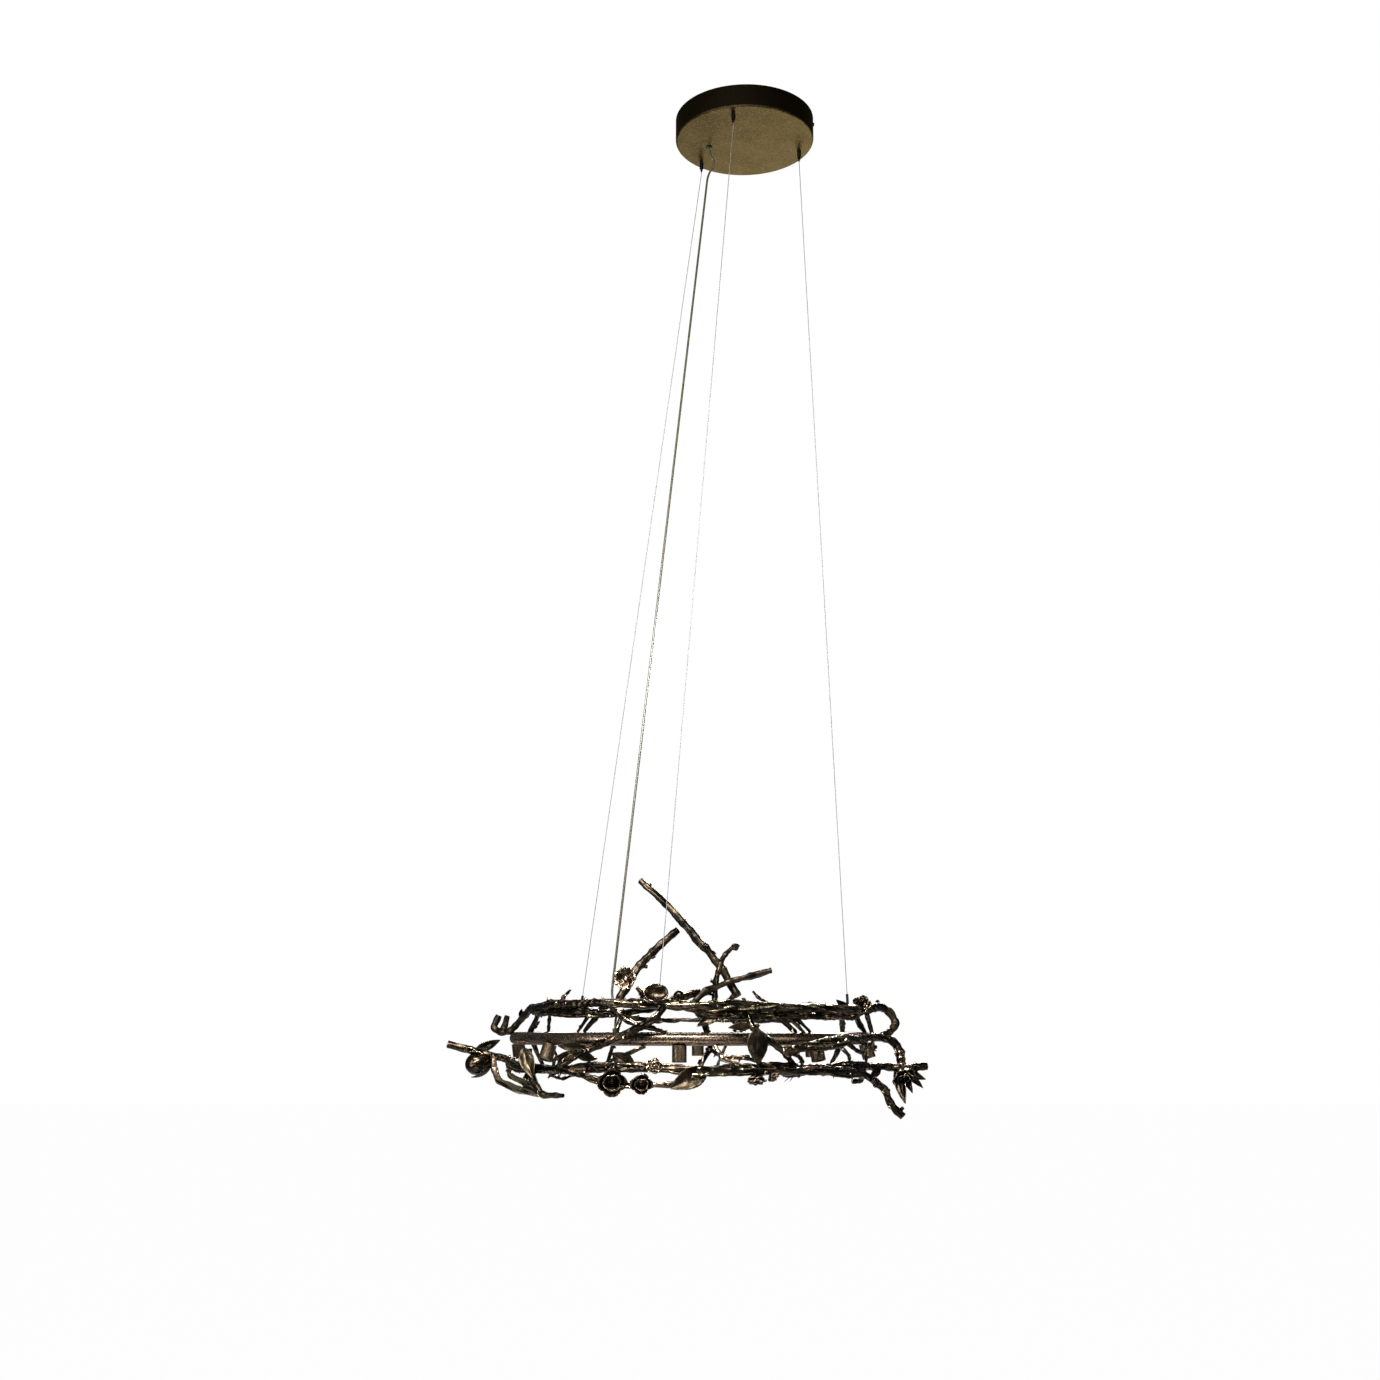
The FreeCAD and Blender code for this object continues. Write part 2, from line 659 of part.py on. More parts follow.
# The housing hangs from a shoe that turns inside the tube, so the spot tilts about its axis.
def make_spot(index):
    point, _, pose = spot_place(index)
    tangent = Rotation(Vector(1, 0, 0), -90)
    can = cylinder("spot_can", "sizes.spot / 2", "sizes.spot_reach - sizes.spot_top",
                   raised(-size("spot_reach")))
    saddle = cylinder("spot_saddle", "sizes.tube / 2 + sizes.saddle_gap", "sizes.spot * 2",
                      Placement(Vector(0, -size("spot"), 0), tangent))
    saddle_top = size("tube") / 2 + size("saddle_gap")
    neck = cylinder("spot_neck", "sizes.swivel_neck / 2", "sizes.swivel_neck_length",
                    raised(-saddle_top - size("swivel_neck_bite")))
    shoe_radius = "sizes.tube / 2 - sizes.tube_wall - sizes.shoe_gap"
    shoe = cylinder("spot_shoe", shoe_radius, "sizes.shoe_length",
                    Placement(Vector(0, -size("shoe_length") / 2, 0), tangent))
    way = cylinder("spot_shoe_way", "sizes.shoe_bore / 2", "sizes.shoe_length",
                   Placement(Vector(0, -size("shoe_length") / 2, 0), tangent))
    bore = cylinder("spot_mouth", "sizes.spot_bore / 2", "sizes.spot_bore_depth",
                    raised(-size("spot_reach")))
    lead = cylinder("spot_lead_way", "sizes.lead_way / 2", "sizes.spot_reach",
                    raised(-size("spot_reach")))
    seated = cut("spot_seated", can, saddle)
    whole = fuse("spot_whole", [seated, neck, shoe])
    housing = cut("spot_bored", whole, fuse("spot_ways", [way, bore, lead]))
    housing.Placement = Placement(point, pose)
    keep(housing, f"spot_{index + 1}_housing")

    board_top = size("spot_bore_depth") - size("spot_reach")
    board = cylinder("spot_board", "sizes.spot_bore / 2 - sizes.light_gap", "sizes.board_height",
                     raised(board_top - size("board_height")))
    lens = cylinder("spot_lens", "sizes.spot_bore / 2 - sizes.light_gap", "sizes.lens_height",
                    raised(size("lens_recess") - size("spot_reach")))
    light = group("spot_light", [board, lens])
    light.Placement = Placement(point, pose)
    keep(light, f"spot_{index + 1}_light")


# ---------------------------------------------------------------------------------------------
# suspension and cord


def make_suspension():
    wires = []
    ferrules = []
    for angle, (landing_angle, host) in zip(WIRE_ANGLES, LANDINGS):
        plunger_end = size("canopy_height") + size("gripper_length") + size("plunger_out")
        bend = gripper_point(angle, -plunger_end - size("wire_lead"))
        inside = gripper_point(angle, size("neck_rise") + size("wire_end") - size("canopy_height"))
        seat = along(host, landing_angle)
        upward = (bend - seat).normalize()
        top = seat + upward * size("ferrule_length")
        wires.append(round_tube("suspension_wire", [inside, bend, top], size("wire"),
                                size("wire_bend")))
        ferrule = cylinder("wire_ferrule", "sizes.ferrule / 2", "sizes.ferrule_length",
                           Placement(seat, Rotation(Vector(0, 0, 1), upward)))
        axis = [(seat, "", False), (top, "", False)]
        ferrules.append(cope("wire_ferrule", ferrule, axis, [host]))
    keep(group("suspension_wires", wires), "suspension_wires")
    keep(group("wire_ferrules", ferrules), "wire_ferrules")


def make_power_cord():
    canopy_underside = -size("canopy_height")
    route = [
        CORD_EXIT + Vector(0, 0, canopy_underside + 12),
        CORD_EXIT + Vector(0, 0, canopy_underside - 14),
        CORD_EXIT + Vector(10, 3, canopy_underside - 35),
        CORD_EXIT + Vector(-3, 4, canopy_underside - 62),
        ring_point(243.4, -24, 76),
        ring_point(246.4, -17, 47),
        ring_point(CORD_ENTRY_ANGLE, 0, 32),
        ring_point(CORD_ENTRY_ANGLE, 0, size("tube") / 2 - 1),
    ]
    keep(round_tube("power_cord_route", route, size("cord")), "power_cord")


# ---------------------------------------------------------------------------------------------
# twigs of the two tiers


def make_upper_tier():
    front = [upper(240.5, 12, 8), upper(248, 13, 6), upper(256, 12, 3.5), upper(266, 13, 1.5),
             upper(278, 12, 0.5), upper(291, 13, -1), upper(304, 12, -2), upper(318, 13, -3),
             upper(331, 12, -3), upper(343, 8, -3), upper(352, 9, -3)]
    keep(grow("upper_front_branch", front, "limb", "stout"), "upper_front_branch")

    second = [along("upper_front_branch", 267), upper(276, 3, -11), upper(288.5, 1, -13),
              upper(303, 5, -16), upper(318, 6, -16.5), upper(333, 4, -16),
              along("upper_front_branch", 346)]
    keep(grow("upper_second_branch", second, "bough", "limb", ["upper_front_branch"]),
         "upper_second_branch")

    left = [upper(204, -10, -2), upper(214, -1, 0), upper(222.7, 6, 4), upper(233.5, 7, 5),
            along("upper_front_branch", 243)]
    keep(grow("upper_left_branch", left, "limb", "bough", ["upper_front_branch"]),
         "upper_left_branch")

    under = [along("upper_left_branch", 207), upper(214, 1, -11.5), upper(222, 5, -9),
             upper(233, 7, -9), upper(243, 5, -12), upper(251, 0, -11), upper(257, -12, -5),
             upper(262, -18, 1), upper(265, -19, 4)]
    keep(grow("upper_left_under_branch", under, "bough", "twig", ["upper_left_branch"],
              (False, True)),
         "upper_left_under_branch")

    hook = [along("upper_left_branch", 209), upper(199, -18, -2), upper(192, -18, -11),
            on_tube(187.3, 38, "limb", 2), ring_point(184.8, 29, 10), ring_point(182.8, 46, 23),
            ring_point(183.2, 27, 43)]
    keep(grow("left_hook_branch", hook, "bough", "limb", ["upper_left_branch", "tube"]),
         "left_hook_branch")

    back_left = [along("left_hook_branch", 197), upper(186, -30, -3), upper(176, -32, 0),
                 upper(164, -22, 1), upper(150, -12, 2), upper(134, -10, 1), upper(121, -6, -6),
                 upper(110, 0, -19), upper(99, 2, -22)]
    keep(grow("upper_back_left_branch", back_left, "bough", "twig", ["left_hook_branch"]),
         "upper_back_left_branch")

    back_right = [along("upper_back_left_branch", 104), upper(92, 2, -21),
                  upper(78, -1, -22), upper(64, 1, -23), upper(50, 0, -21), upper(36, -5, -8),
                  upper(24, -8, 0), upper(13, -8, 2), upper(2, -4, 0),
                  along("upper_front_branch", 351)]
    keep(grow("upper_back_right_branch", back_right, "sprig", "bough",
              ["upper_back_left_branch", "upper_front_branch"]),
         "upper_back_right_branch")


def make_lower_tier():
    front = [lower(228, 3, -3), lower(237, 8, -1), lower(249, 12, 1), lower(260, 22, 1.5),
             lower(273, 23, 0), lower(285, 18, -2), lower(298, 15, -4), lower(309, 20, -5),
             lower(320, 20, -6), lower(332, 12, -9), lower(343, 4, -11)]
    keep(grow("lower_front_branch", front, "bough", "limb", (), (True, True)), "lower_front_branch")

    left = [ring_point(187.3, 131, -11), ring_point(187.9, 97, -20), ring_point(188.7, 55, -30),
            lower(192, 21, 13), lower(203, 18, 5), lower(215, 20, 0), lower(229, 19, -1),
            along("lower_front_branch", 243)]
    keep(grow("lower_left_branch", left, "limb", "bough", ["lower_front_branch"]),
         "lower_left_branch")

    dip = [along("lower_left_branch", 227), lower(234, 24, -5), lower(240, 26, -13),
           lower(247, 27, -20), lower(256, 27, -26), lower(264, 28, -25), lower(270.5, 27, -15),
           along("lower_front_branch", 277)]
    keep(grow("lower_dip_branch", dip, "twig", "sprig",
              ["lower_left_branch", "lower_front_branch"]),
         "lower_dip_branch")

    right = [along("lower_front_branch", 284), lower(292, 5, 2), lower(305, -2, 2),
             lower(318, -2, 1.5), lower(330, 1, 0.5), lower(341, 6, 0), lower(350, 14, -1),
             ring_point(352.6, 44, -54), ring_point(353, 72, -57), ring_point(354, 98, -55),
             ring_point(355, 121, -53)]
    keep(grow("lower_right_branch", right, "twig", "limb", ["lower_front_branch"]),
         "lower_right_branch")

    back_left = [along("lower_left_branch", 194), lower(183, -2, -7), lower(170, 2, -10),
                 lower(155, -4, -11), lower(140, 1, -13), lower(125, -5, -12), lower(112, 0, -13),
                 lower(100, -4, -11)]
    keep(grow("lower_back_left_branch", back_left, "bough", "twig", ["lower_left_branch"],
              (False, True)),
         "lower_back_left_branch")

    back_right = [along("lower_back_left_branch", 107), lower(102.5, 11, -19), lower(92, 8, -16),
                  lower(80, -2, -12), lower(65, 3, -13), lower(50, -3, -13), lower(35, 2, -12),
                  lower(20, -3, -12), lower(6, 1, -10), lower(354, -2, -7),
                  along("lower_right_branch", 344)]
    keep(grow("lower_back_right_branch", back_right, "sprig", "bough",
              ["lower_back_left_branch", "lower_right_branch"]),
         "lower_back_right_branch")


# ---------------------------------------------------------------------------------------------
# twigs that join the tiers across the tube


def make_front_cross_twigs():
    long = [along("upper_front_branch", 263), ring_point(260, 21, 34), ring_point(256, 21, 21),
            on_tube(249.8, 72, "twig"), ring_point(243.5, 18, -10), ring_point(236.5, 21, -25),
            along("lower_left_branch", 228)]
    keep(grow("long_cross_twig", long, "twig", "bough",
              ["upper_front_branch", "tube", "lower_left_branch"]),
         "long_cross_twig")

    over = [along("upper_front_branch", 245.5), ring_point(251, 7, 32), ring_point(256, 10.5, 22),
            on_tube(263.5, 14, "twig", 3)]
    short = [along("upper_left_under_branch", 242), on_tube(236, 0, "twig", 3)]
    beside = [along("upper_left_under_branch", 239), on_tube(233, -12, "sprig", 3)]
    down = [on_tube(257, 155, "sprig", 3), ring_point(250, 11, -28), along("lower_front_branch", 240)]
    keep(group("left_cross_twigs", [
        grow("over_twig", over, "twig", "sprig",
             ["upper_front_branch", "upper_left_under_branch", "long_cross_twig", "tube"]),
        grow("short_twig", short, "twig", "sprig", ["upper_left_under_branch", "tube"]),
        grow("beside_twig", beside, "sprig", "stem", ["upper_left_under_branch", "tube"]),
        grow("down_twig", down, "sprig", "stem", ["tube", "lower_front_branch"]),
    ]), "left_cross_twigs")

    inner = [along("upper_second_branch", 271.5), ring_point(274.5, -14, 34),
             on_tube(276.5, -84, "twig"), ring_point(276.5, -14, -18), ring_point(274, -2, -36),
             along("lower_front_branch", 273)]
    slant = [inner[3], along("lower_front_branch", 286)]
    falling = [along("upper_second_branch", 287.5), ring_point(288.2, 17, 20),
               on_tube(293, 88, "bough"), ring_point(299, 17, -27), along("lower_right_branch", 304)]
    inner_twig = grow("inner_twig", inner, "twig", "sprig",
                      ["upper_second_branch", "tube", "lower_front_branch"])
    keep(group("centre_cross_twigs", [
        inner_twig,
        grow("slant_twig", slant, "sprig", "stem",
             ["inner_twig", "lower_front_branch", "lower_right_branch"]),
        grow("falling_twig", falling, "bough", "twig",
             ["upper_second_branch", "tube", "lower_right_branch"]),
    ]), "centre_cross_twigs")


def make_right_cross_twigs():
    hook = [along("falling_twig", 297.5), ring_point(304, 24, -14), ring_point(312, 29, -4),
            ring_point(321, 24, 0), on_tube(331, 90, "bough"), ring_point(342, 19, 3),
            ring_point(349, 24, 3), ring_point(352.8, 42, 1), ring_point(354.2, 60, -8),
            ring_point(354.6, 71, -27), along("lower_right_branch", 353)]
    keep(grow("right_hook_branch", hook, "twig", "bough",
              ["falling_twig", "tube", "lower_right_branch"]),
         "right_hook_branch")

    loop = [along("upper_front_branch", 349), ring_point(353.4, 33, 61), ring_point(355.4, 53, 50),
            ring_point(355.7, 64, 28), ring_point(354.3, 52, 12), along("right_hook_branch", 350.5)]
    keep(grow("right_loop_branch", loop, "bough", "twig",
              ["upper_front_branch", "right_hook_branch"]),
         "right_loop_branch")

    bundle = []
    for index, angle in enumerate((298, 300.5, 303)):
        line = [along("upper_second_branch", angle), on_tube(angle + 7, -10 + 10 * index, "stem", 2)]
        bundle.append(grow(f"bundle_twig_{index + 1}", line, "sprig", "stem",
                           ["upper_second_branch", "tube"]))
    diagonal = [along("upper_second_branch", 336), on_tube(346, 35, "sprig", 3)]
    upright = [along("upper_front_branch", 347), along("right_hook_branch", 346.5)]
    keep(group("right_cross_twigs", bundle + [
        grow("diagonal_twig", diagonal, "twig", "sprig", ["upper_second_branch", "tube"]),
        grow("upright_twig", upright, "twig", "sprig", ["upper_front_branch", "right_hook_branch"]),
    ]), "right_cross_twigs")


def make_back_cross_twigs():
    twigs = []
    crossings = (("back_twig_1", 162, 152, 90, "upper_back_left_branch", "lower_back_left_branch"),
                 ("back_twig_2", 116, 122, -90, "upper_back_left_branch", "lower_back_left_branch"),
                 ("back_twig_3", 74, 64, 90, "upper_back_right_branch", "lower_back_right_branch"),
                 ("back_twig_4", 22, 32, 90, "upper_back_right_branch", "lower_back_right_branch"))
    for name, high, low, side, above, below in crossings:
        line = [along(above, high), on_tube((high + low) / 2, side, "twig"), along(below, low)]
        twigs.append(grow(name, line, "twig", "sprig", [above, "tube", below]))
    keep(group("back_cross_twigs", twigs), "back_cross_twigs")


# ---------------------------------------------------------------------------------------------
# hanging clusters and the sprays on top


def make_hanging_twigs():
    stem = [ring_point(216.5, 29, -18), ring_point(216.6, 29, -46), ring_point(219.3, 28, -75),
            ring_point(223.5, 26, -100), ring_point(229, 23, -99), ring_point(231.5, 22, -99)]
    keep(grow("left_stem_branch", stem, "stout", "sprig", ["lower_left_branch"], (True, True)),
         "left_stem_branch")

    loop = [along("lower_left_branch", 190), ring_point(193, 43, -59), ring_point(196.5, 36, -79),
            ring_point(209, 22, -93), partway("left_stem_branch", 2, 0.85)]
    inner = [along("lower_left_branch", 194.5), ring_point(200, 20, -68), ring_point(212, 20, -79),
             partway("left_stem_branch", 2, 0.4)]
    keep(group("left_loop_twigs", [
        grow("left_loop_twig", loop, "bough", "limb", ["lower_left_branch", "left_stem_branch"]),
        grow("left_inner_twig", inner, "twig", "bough",
             ["lower_left_branch", "left_loop_twig", "left_stem_branch"]),
    ]), "left_loop_twigs")

    drop = [along("lower_front_branch", 340.5), ring_point(345.7, 24, -77),
            ring_point(346.5, 44, -95), ring_point(346.6, 48, -116), ring_point(347, 60, -131),
            ring_point(347.5, 75, -146)]
    rough = [partway("lower_front_branch", 9, 0.8), ring_point(341.5, 4, -78), ring_point(340.3, -14, -79)]
    keep(group("right_drop_twigs", [
        grow("right_drop_twig", drop, "twig", "limb", ["lower_front_branch"]),
        grow("right_rough_twig", rough, "sprig", "twig",
             ["lower_front_branch", "right_drop_twig"]),
    ]), "right_drop_twigs")


def make_sprays():
    tall = [ring_point(249.9, -74, 288), ring_point(260.6, -66, 245), ring_point(270.2, -50, 193),
            ring_point(275.4, -39, 162), ring_point(280.4, -25, 127), ring_point(285, -6, 74)]
    keep(grow("tall_spray_branch", tall, "bough", "limb"), "tall_spray_branch")

    left = [along("upper_front_branch", 248.5), ring_point(252.2, -20, 122),
            ring_point(259.4, -46, 168), ring_point(265.6, -64, 195)]
    crossing = partway("tall_spray_branch", 4, 0.5)
    right = [along("upper_front_branch", 270), shifted(along("upper_front_branch", 275), 1, 26),
             shifted(crossing, 11.2, 2), ring_point(295, 9, 121)]
    fork_crossing = partway("tall_spray_branch", 3, 0.9)
    fork = [along("upper_front_branch", 277), ring_point(278.3, -12, 104),
            shifted(fork_crossing, 9, 2), ring_point(282, -31, 149), ring_point(285, -37, 163)]
    short = [along("upper_front_branch", 279.8), partway("tall_spray_branch", 4, 0.9)]
    keep(group("low_spray_branches", [
        grow("left_spray", left, "limb", "bough", ["upper_front_branch"]),
        grow("right_spray", right, "twig", "twig", ["upper_front_branch", "tall_spray_branch"]),
        grow("fork_spray", fork, "twig", "sprig",
             ["upper_front_branch", "tall_spray_branch", "right_spray"], (False, True)),
        grow("short_spray", short, "twig", "sprig", ["upper_front_branch", "tall_spray_branch"]),
    ]), "low_spray_branches")


# ---------------------------------------------------------------------------------------------
# flowers, buds and leaves


# A flower: a cup with a bead in it on a short stalk, facing along "facing".
def flower(name, host, foot, facing, width, depth, bead):
    turn = Rotation(Vector(0, 0, 1), facing)
    base = foot + turn.multVec(Vector(0, 0, size("flower_seat")))
    stalk = cylinder(f"{name}_stalk", "sizes.stem / 2", "sizes.flower_stalk", Placement(foot, turn))
    outside = cone(f"{name}_outside", str(width * CUP_FOOT), str(width / 2), str(depth),
                   Placement(base, turn))
    hollow_base = base + turn.multVec(Vector(0, 0, depth * CUP_FLOOR))
    hollow = cone(f"{name}_inside", "0", f"{width / 2} - sizes.petal_wall",
                  str(depth * (1 - CUP_FLOOR)), Placement(hollow_base, turn))
    cup = cut(f"{name}_cup", outside, hollow)
    middle = sphere(f"{name}_bead", str(bead), hollow_base + turn.multVec(Vector(0, 0, bead / 2)))
    whole = fuse(f"{name}_whole", [stalk, cup, middle])
    top = foot + turn.multVec(Vector(0, 0, depth))
    return cope(name, whole, [(foot, "", False), (top, "", False)], [host], width / 2)


def make_flowers():
    toward_viewer = Vector(-0.1, -1, 0.05)
    down = Vector(0, -0.25, -1)
    blooms = [
        flower("spray_flower", "left_spray", partway("left_spray", 0, 0.72), toward_viewer, 40, 15, 7),
        flower("dip_flower_1", "lower_dip_branch", along("lower_dip_branch", 248), down, 38, 24, 6),
        flower("dip_flower_2", "lower_dip_branch", along("lower_dip_branch", 256.5), down, 36, 28, 7),
        flower("centre_flower", "lower_front_branch", along("lower_front_branch", 289.5), down, 38, 22, 6),
        flower("right_flower", "lower_right_branch", partway("lower_right_branch", 8, 0.4),
               Vector(0.45, 0.15, -0.85), 50, 34, 8),
        flower("top_flower", "upper_front_branch", along("upper_front_branch", 344),
               Vector(-0.1, -0.3, 1), 26, 14, 4),
    ]
    keep(group("flowers", blooms), "flowers")


def bud(name, host, centre, across, tall, facing):
    turn = Rotation(Vector(0, 0, 1), facing)
    body = doc.addObject("Part::Ellipsoid", f"{name}_body")
    bind(body, Radius1=str(tall / 2), Radius2=str(across / 2), Radius3=str(across / 2))
    body.Placement = Placement(centre, turn)
    end = centre + turn.multVec(Vector(0, 0, 1))
    return cope(name, body, [(centre, "", False), (end, "", False)], [host], across / 2)


def make_buds():
    cup_seat = shifted(along("upper_front_branch", 260.4), 6, 20)
    round_seat = shifted(partway("lower_left_branch", 1, 0.6), 0, -22)
    knot_seat = shifted(along("upper_front_branch", 267), -3, 15)
    keep(group("buds", [
        bud("cup_bud", "upper_front_branch", cup_seat, 40, 32, Vector(0, 0, 1)),
        bud("round_bud", "lower_left_branch", round_seat, 44, 46, Vector(1, 0, 0.2)),
        bud("knot_bud", "upper_front_branch", knot_seat, 18, 20, Vector(0, 0, 1)),
    ]), "buds")


# A leaf: a thin pointed blade from its foot towards its tip, "face" square to the blade.
def leaf(name, hosts, foot, tip, face, width):
    run = tip - foot
    length = run.Length
    axis = Vector(run).normalize()
    normal = (face - axis * face.dot(axis)).normalize()
    across = normal.cross(axis)
    radius = (length ** 2 + width ** 2) / (4 * width)
    turn = Rotation(Vector(0, 0, 1), normal)
    blades = []
    for side in (1, -1):
        centre = foot + run * 0.5 + across * (side * (radius - width / 2))
        start = centre - normal * (size("leaf_sheet") / 2)
        blades.append(cylinder(f"{name}_side", repr(radius), "sizes.leaf_sheet",
                               Placement(start, turn)))
    blade = doc.addObject("Part::Common", f"{name}_blade")
    blade.Base = blades[0]
    blade.Tool = blades[1]
    return cope(name, blade, [(foot, "", False), (tip, "", False)], hosts)


def make_leaves():
    outward = Vector(0, -1, 0)
    leaves = [
        ("crest_leaf", "lower_left_branch", ring_point(188.9, 78, -24), ring_point(186.2, 30, -4), 15),
        ("dome_leaf", "lower_front_branch down_twig", along("lower_front_branch", 254),
         ring_point(247.5, 16, -24), 22),
        ("broad_leaf", "lower_front_branch lower_dip_branch", along("lower_front_branch", 275),
         ring_point(264.8, 40, -84), 26),
        ("blade_leaf", "falling_twig", ring_point(289.3, 22, 10), ring_point(289, 27, -40), 22),
        ("hanging_leaf", "lower_right_branch", partway("lower_right_branch", 7, 0.6),
         ring_point(348.3, 79, -124), 15),
        ("bract_leaf", "upper_second_branch", along("upper_second_branch", 279),
         ring_point(272, 6, 22), 16),
        ("tangle_leaf_1", "long_cross_twig", along("long_cross_twig", 240), ring_point(230, 26, -12), 15),
        ("tangle_leaf_2", "long_cross_twig", along("long_cross_twig", 236), ring_point(244, 26, -34), 14),
        ("flag_leaf", "falling_twig", along("falling_twig", 288.1), ring_point(281, 14, 20), 13),
        ("tip_leaf", "upper_front_branch", along("upper_front_branch", 328), ring_point(320, 10, 72), 10),
    ]
    shapes = [leaf(name, hosts.split(), foot, tip, outward, width)
              for name, hosts, foot, tip, width in leaves]
    keep(group("leaves", shapes), "leaves")


# ---------------------------------------------------------------------------------------------
# the whole chandelier


def check_document():
    for feature in doc.Objects:
        state = " ".join(feature.State)
        if "Invalid" in state or "Error" in state:
            raise RuntimeError(f"{feature.Label} failed: {state}")
    for feature in nodes:
        shape = feature.Shape
        if shape.isNull() or not shape.isValid():
            raise RuntimeError(f"{feature.Label} has no valid shape")
        print(feature.Label, "solids", len(shape.Solids), "volume", round(shape.Volume))


make_ceiling_plate()
make_canopy_shell()
make_side_screws()
make_block("led_driver", "sizes.driver_length", "sizes.driver_width", "sizes.driver_height",
           "0", "-sizes.driver_set")
make_block("terminal_block", "sizes.block_length", "sizes.block_width", "sizes.block_height",
           "0", "sizes.block_set")
make_grippers()
make_canopy_gland()
make_ring_tube()
make_ring_gland()
for spot in range(SPOT_COUNT):
    make_spot(spot)
make_upper_tier()
make_lower_tier()
make_front_cross_twigs()
make_right_cross_twigs()
make_back_cross_twigs()
make_hanging_twigs()
make_sprays()
make_flowers()
make_buds()
make_leaves()
make_suspension()
make_power_cord()
doc.recompute()
check_document()

os.makedirs("parts", exist_ok=True)
for feature in nodes:
    feature.Shape.exportStep(f"parts/{feature.Label}.step")
print(len(nodes), "nodes written")
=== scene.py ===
# Branch chandelier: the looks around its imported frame. Dictionaries give millimetres and degrees.
import json
import math
import random

import bpy
from mathutils import Matrix, Vector, noise


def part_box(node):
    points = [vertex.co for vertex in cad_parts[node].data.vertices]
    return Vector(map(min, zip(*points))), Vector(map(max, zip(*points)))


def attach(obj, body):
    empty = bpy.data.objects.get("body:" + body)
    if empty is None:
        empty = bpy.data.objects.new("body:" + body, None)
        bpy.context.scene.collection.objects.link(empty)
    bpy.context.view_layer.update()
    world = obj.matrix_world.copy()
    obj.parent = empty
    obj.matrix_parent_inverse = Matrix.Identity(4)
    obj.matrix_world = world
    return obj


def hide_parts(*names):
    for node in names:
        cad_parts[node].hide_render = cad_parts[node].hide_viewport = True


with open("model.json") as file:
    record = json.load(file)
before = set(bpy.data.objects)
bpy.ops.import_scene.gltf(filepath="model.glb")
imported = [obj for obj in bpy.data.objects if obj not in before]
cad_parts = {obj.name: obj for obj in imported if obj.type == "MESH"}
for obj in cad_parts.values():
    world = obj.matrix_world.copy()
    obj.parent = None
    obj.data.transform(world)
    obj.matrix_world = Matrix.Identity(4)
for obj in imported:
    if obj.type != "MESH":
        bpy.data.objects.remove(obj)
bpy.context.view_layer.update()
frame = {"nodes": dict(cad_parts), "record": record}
scene = bpy.context.scene
mm = 0.001
# without a seed of its own, noise_vector changes with the clock
noiseSeed = 1795574439
noise.seed_set(noiseSeed)


def clearSelection():
    if bpy.context.object and bpy.context.object.mode != "OBJECT":
        bpy.ops.object.mode_set(mode="OBJECT")
    bpy.ops.object.select_all(action="DESELECT")


def makeActive(piece):
    clearSelection()
    piece.select_set(True)
    bpy.context.view_layer.objects.active = piece


def applyModifier(piece, kind, **values):
    makeActive(piece)
    modifier = piece.modifiers.new(kind.title(), kind)
    for name, value in values.items():
        setattr(modifier, name, value)
    bpy.ops.object.modifier_apply(modifier=modifier.name)


def shadeSmooth(piece):
    makeActive(piece)
    bpy.ops.object.shade_smooth()


# merges corners that lie on each other when asked, then turns the faces outwards
def mendFaces(piece, merge=0.0):
    makeActive(piece)
    bpy.ops.object.mode_set(mode="EDIT")
    bpy.ops.mesh.select_all(action="SELECT")
    if merge:
        bpy.ops.mesh.remove_doubles(threshold=merge)
    bpy.ops.mesh.normals_make_consistent(inside=False)
    bpy.ops.object.mode_set(mode="OBJECT")


def linkPiece(name, data):
    piece = bpy.data.objects.new(name, data)
    scene.collection.objects.link(piece)
    return piece


def copyPiece(piece):
    return linkPiece(piece.name, piece.data.copy())


def makeGrid(shape):
    clearSelection()
    bpy.ops.mesh.primitive_grid_add(x_subdivisions=shape["rows"], y_subdivisions=shape["columns"],
                                    size=2)
    return bpy.context.object


def joinPieces(pieces, name):
    clearSelection()
    for piece in pieces:
        piece.select_set(True)
    bpy.context.view_layer.objects.active = pieces[0]
    if len(pieces) > 1:
        bpy.ops.object.join()
    whole = bpy.context.object
    whole.name = name
    return whole


# the camera stands where the photograph was taken, looking up at the ring's underside
viewpoint = {"place": (-0.11904, -3.40545, -1.94104), "pitch": 11.172, "lens": 44.32, "sensor": 36}


def setCamera():
    clearSelection()
    tilt = math.radians(90 + viewpoint["pitch"])
    bpy.ops.object.camera_add(location=viewpoint["place"], rotation=(tilt, 0, 0))
    camera = bpy.context.object
    camera.name = "photoCamera"
    camera.data.lens = viewpoint["lens"]
    camera.data.sensor_width = viewpoint["sensor"]
    scene.camera = camera


setCamera()

# the ring's own measures come from the frame
tubeLow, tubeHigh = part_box("ring_tube")
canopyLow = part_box("canopy_shell")[0]
ringCentre = (tubeLow + tubeHigh) / 2
tubeRadius = (tubeHigh.z - tubeLow.z) / 2
ringRadius = (tubeHigh.x - tubeLow.x) / 2 - tubeRadius
tierHeight = {"upper": 57, "lower": -52}
girth = {"stout": 17, "limb": 14, "bough": 12, "twig": 10, "sprig": 7.5, "stem": 5}
twigAxes = {}
twigSkins = {}


def ringPoint(angle, out, up):
    turn = math.radians(angle)
    reach = ringRadius + out * mm
    return ringCentre + Vector((reach * math.cos(turn), reach * math.sin(turn), up * mm))


def upper(angle, out, rise=0):
    return ringPoint(angle, out, tierHeight["upper"] + rise)


def lower(angle, out, rise=0):
    return ringPoint(angle, out, tierHeight["lower"] + rise)


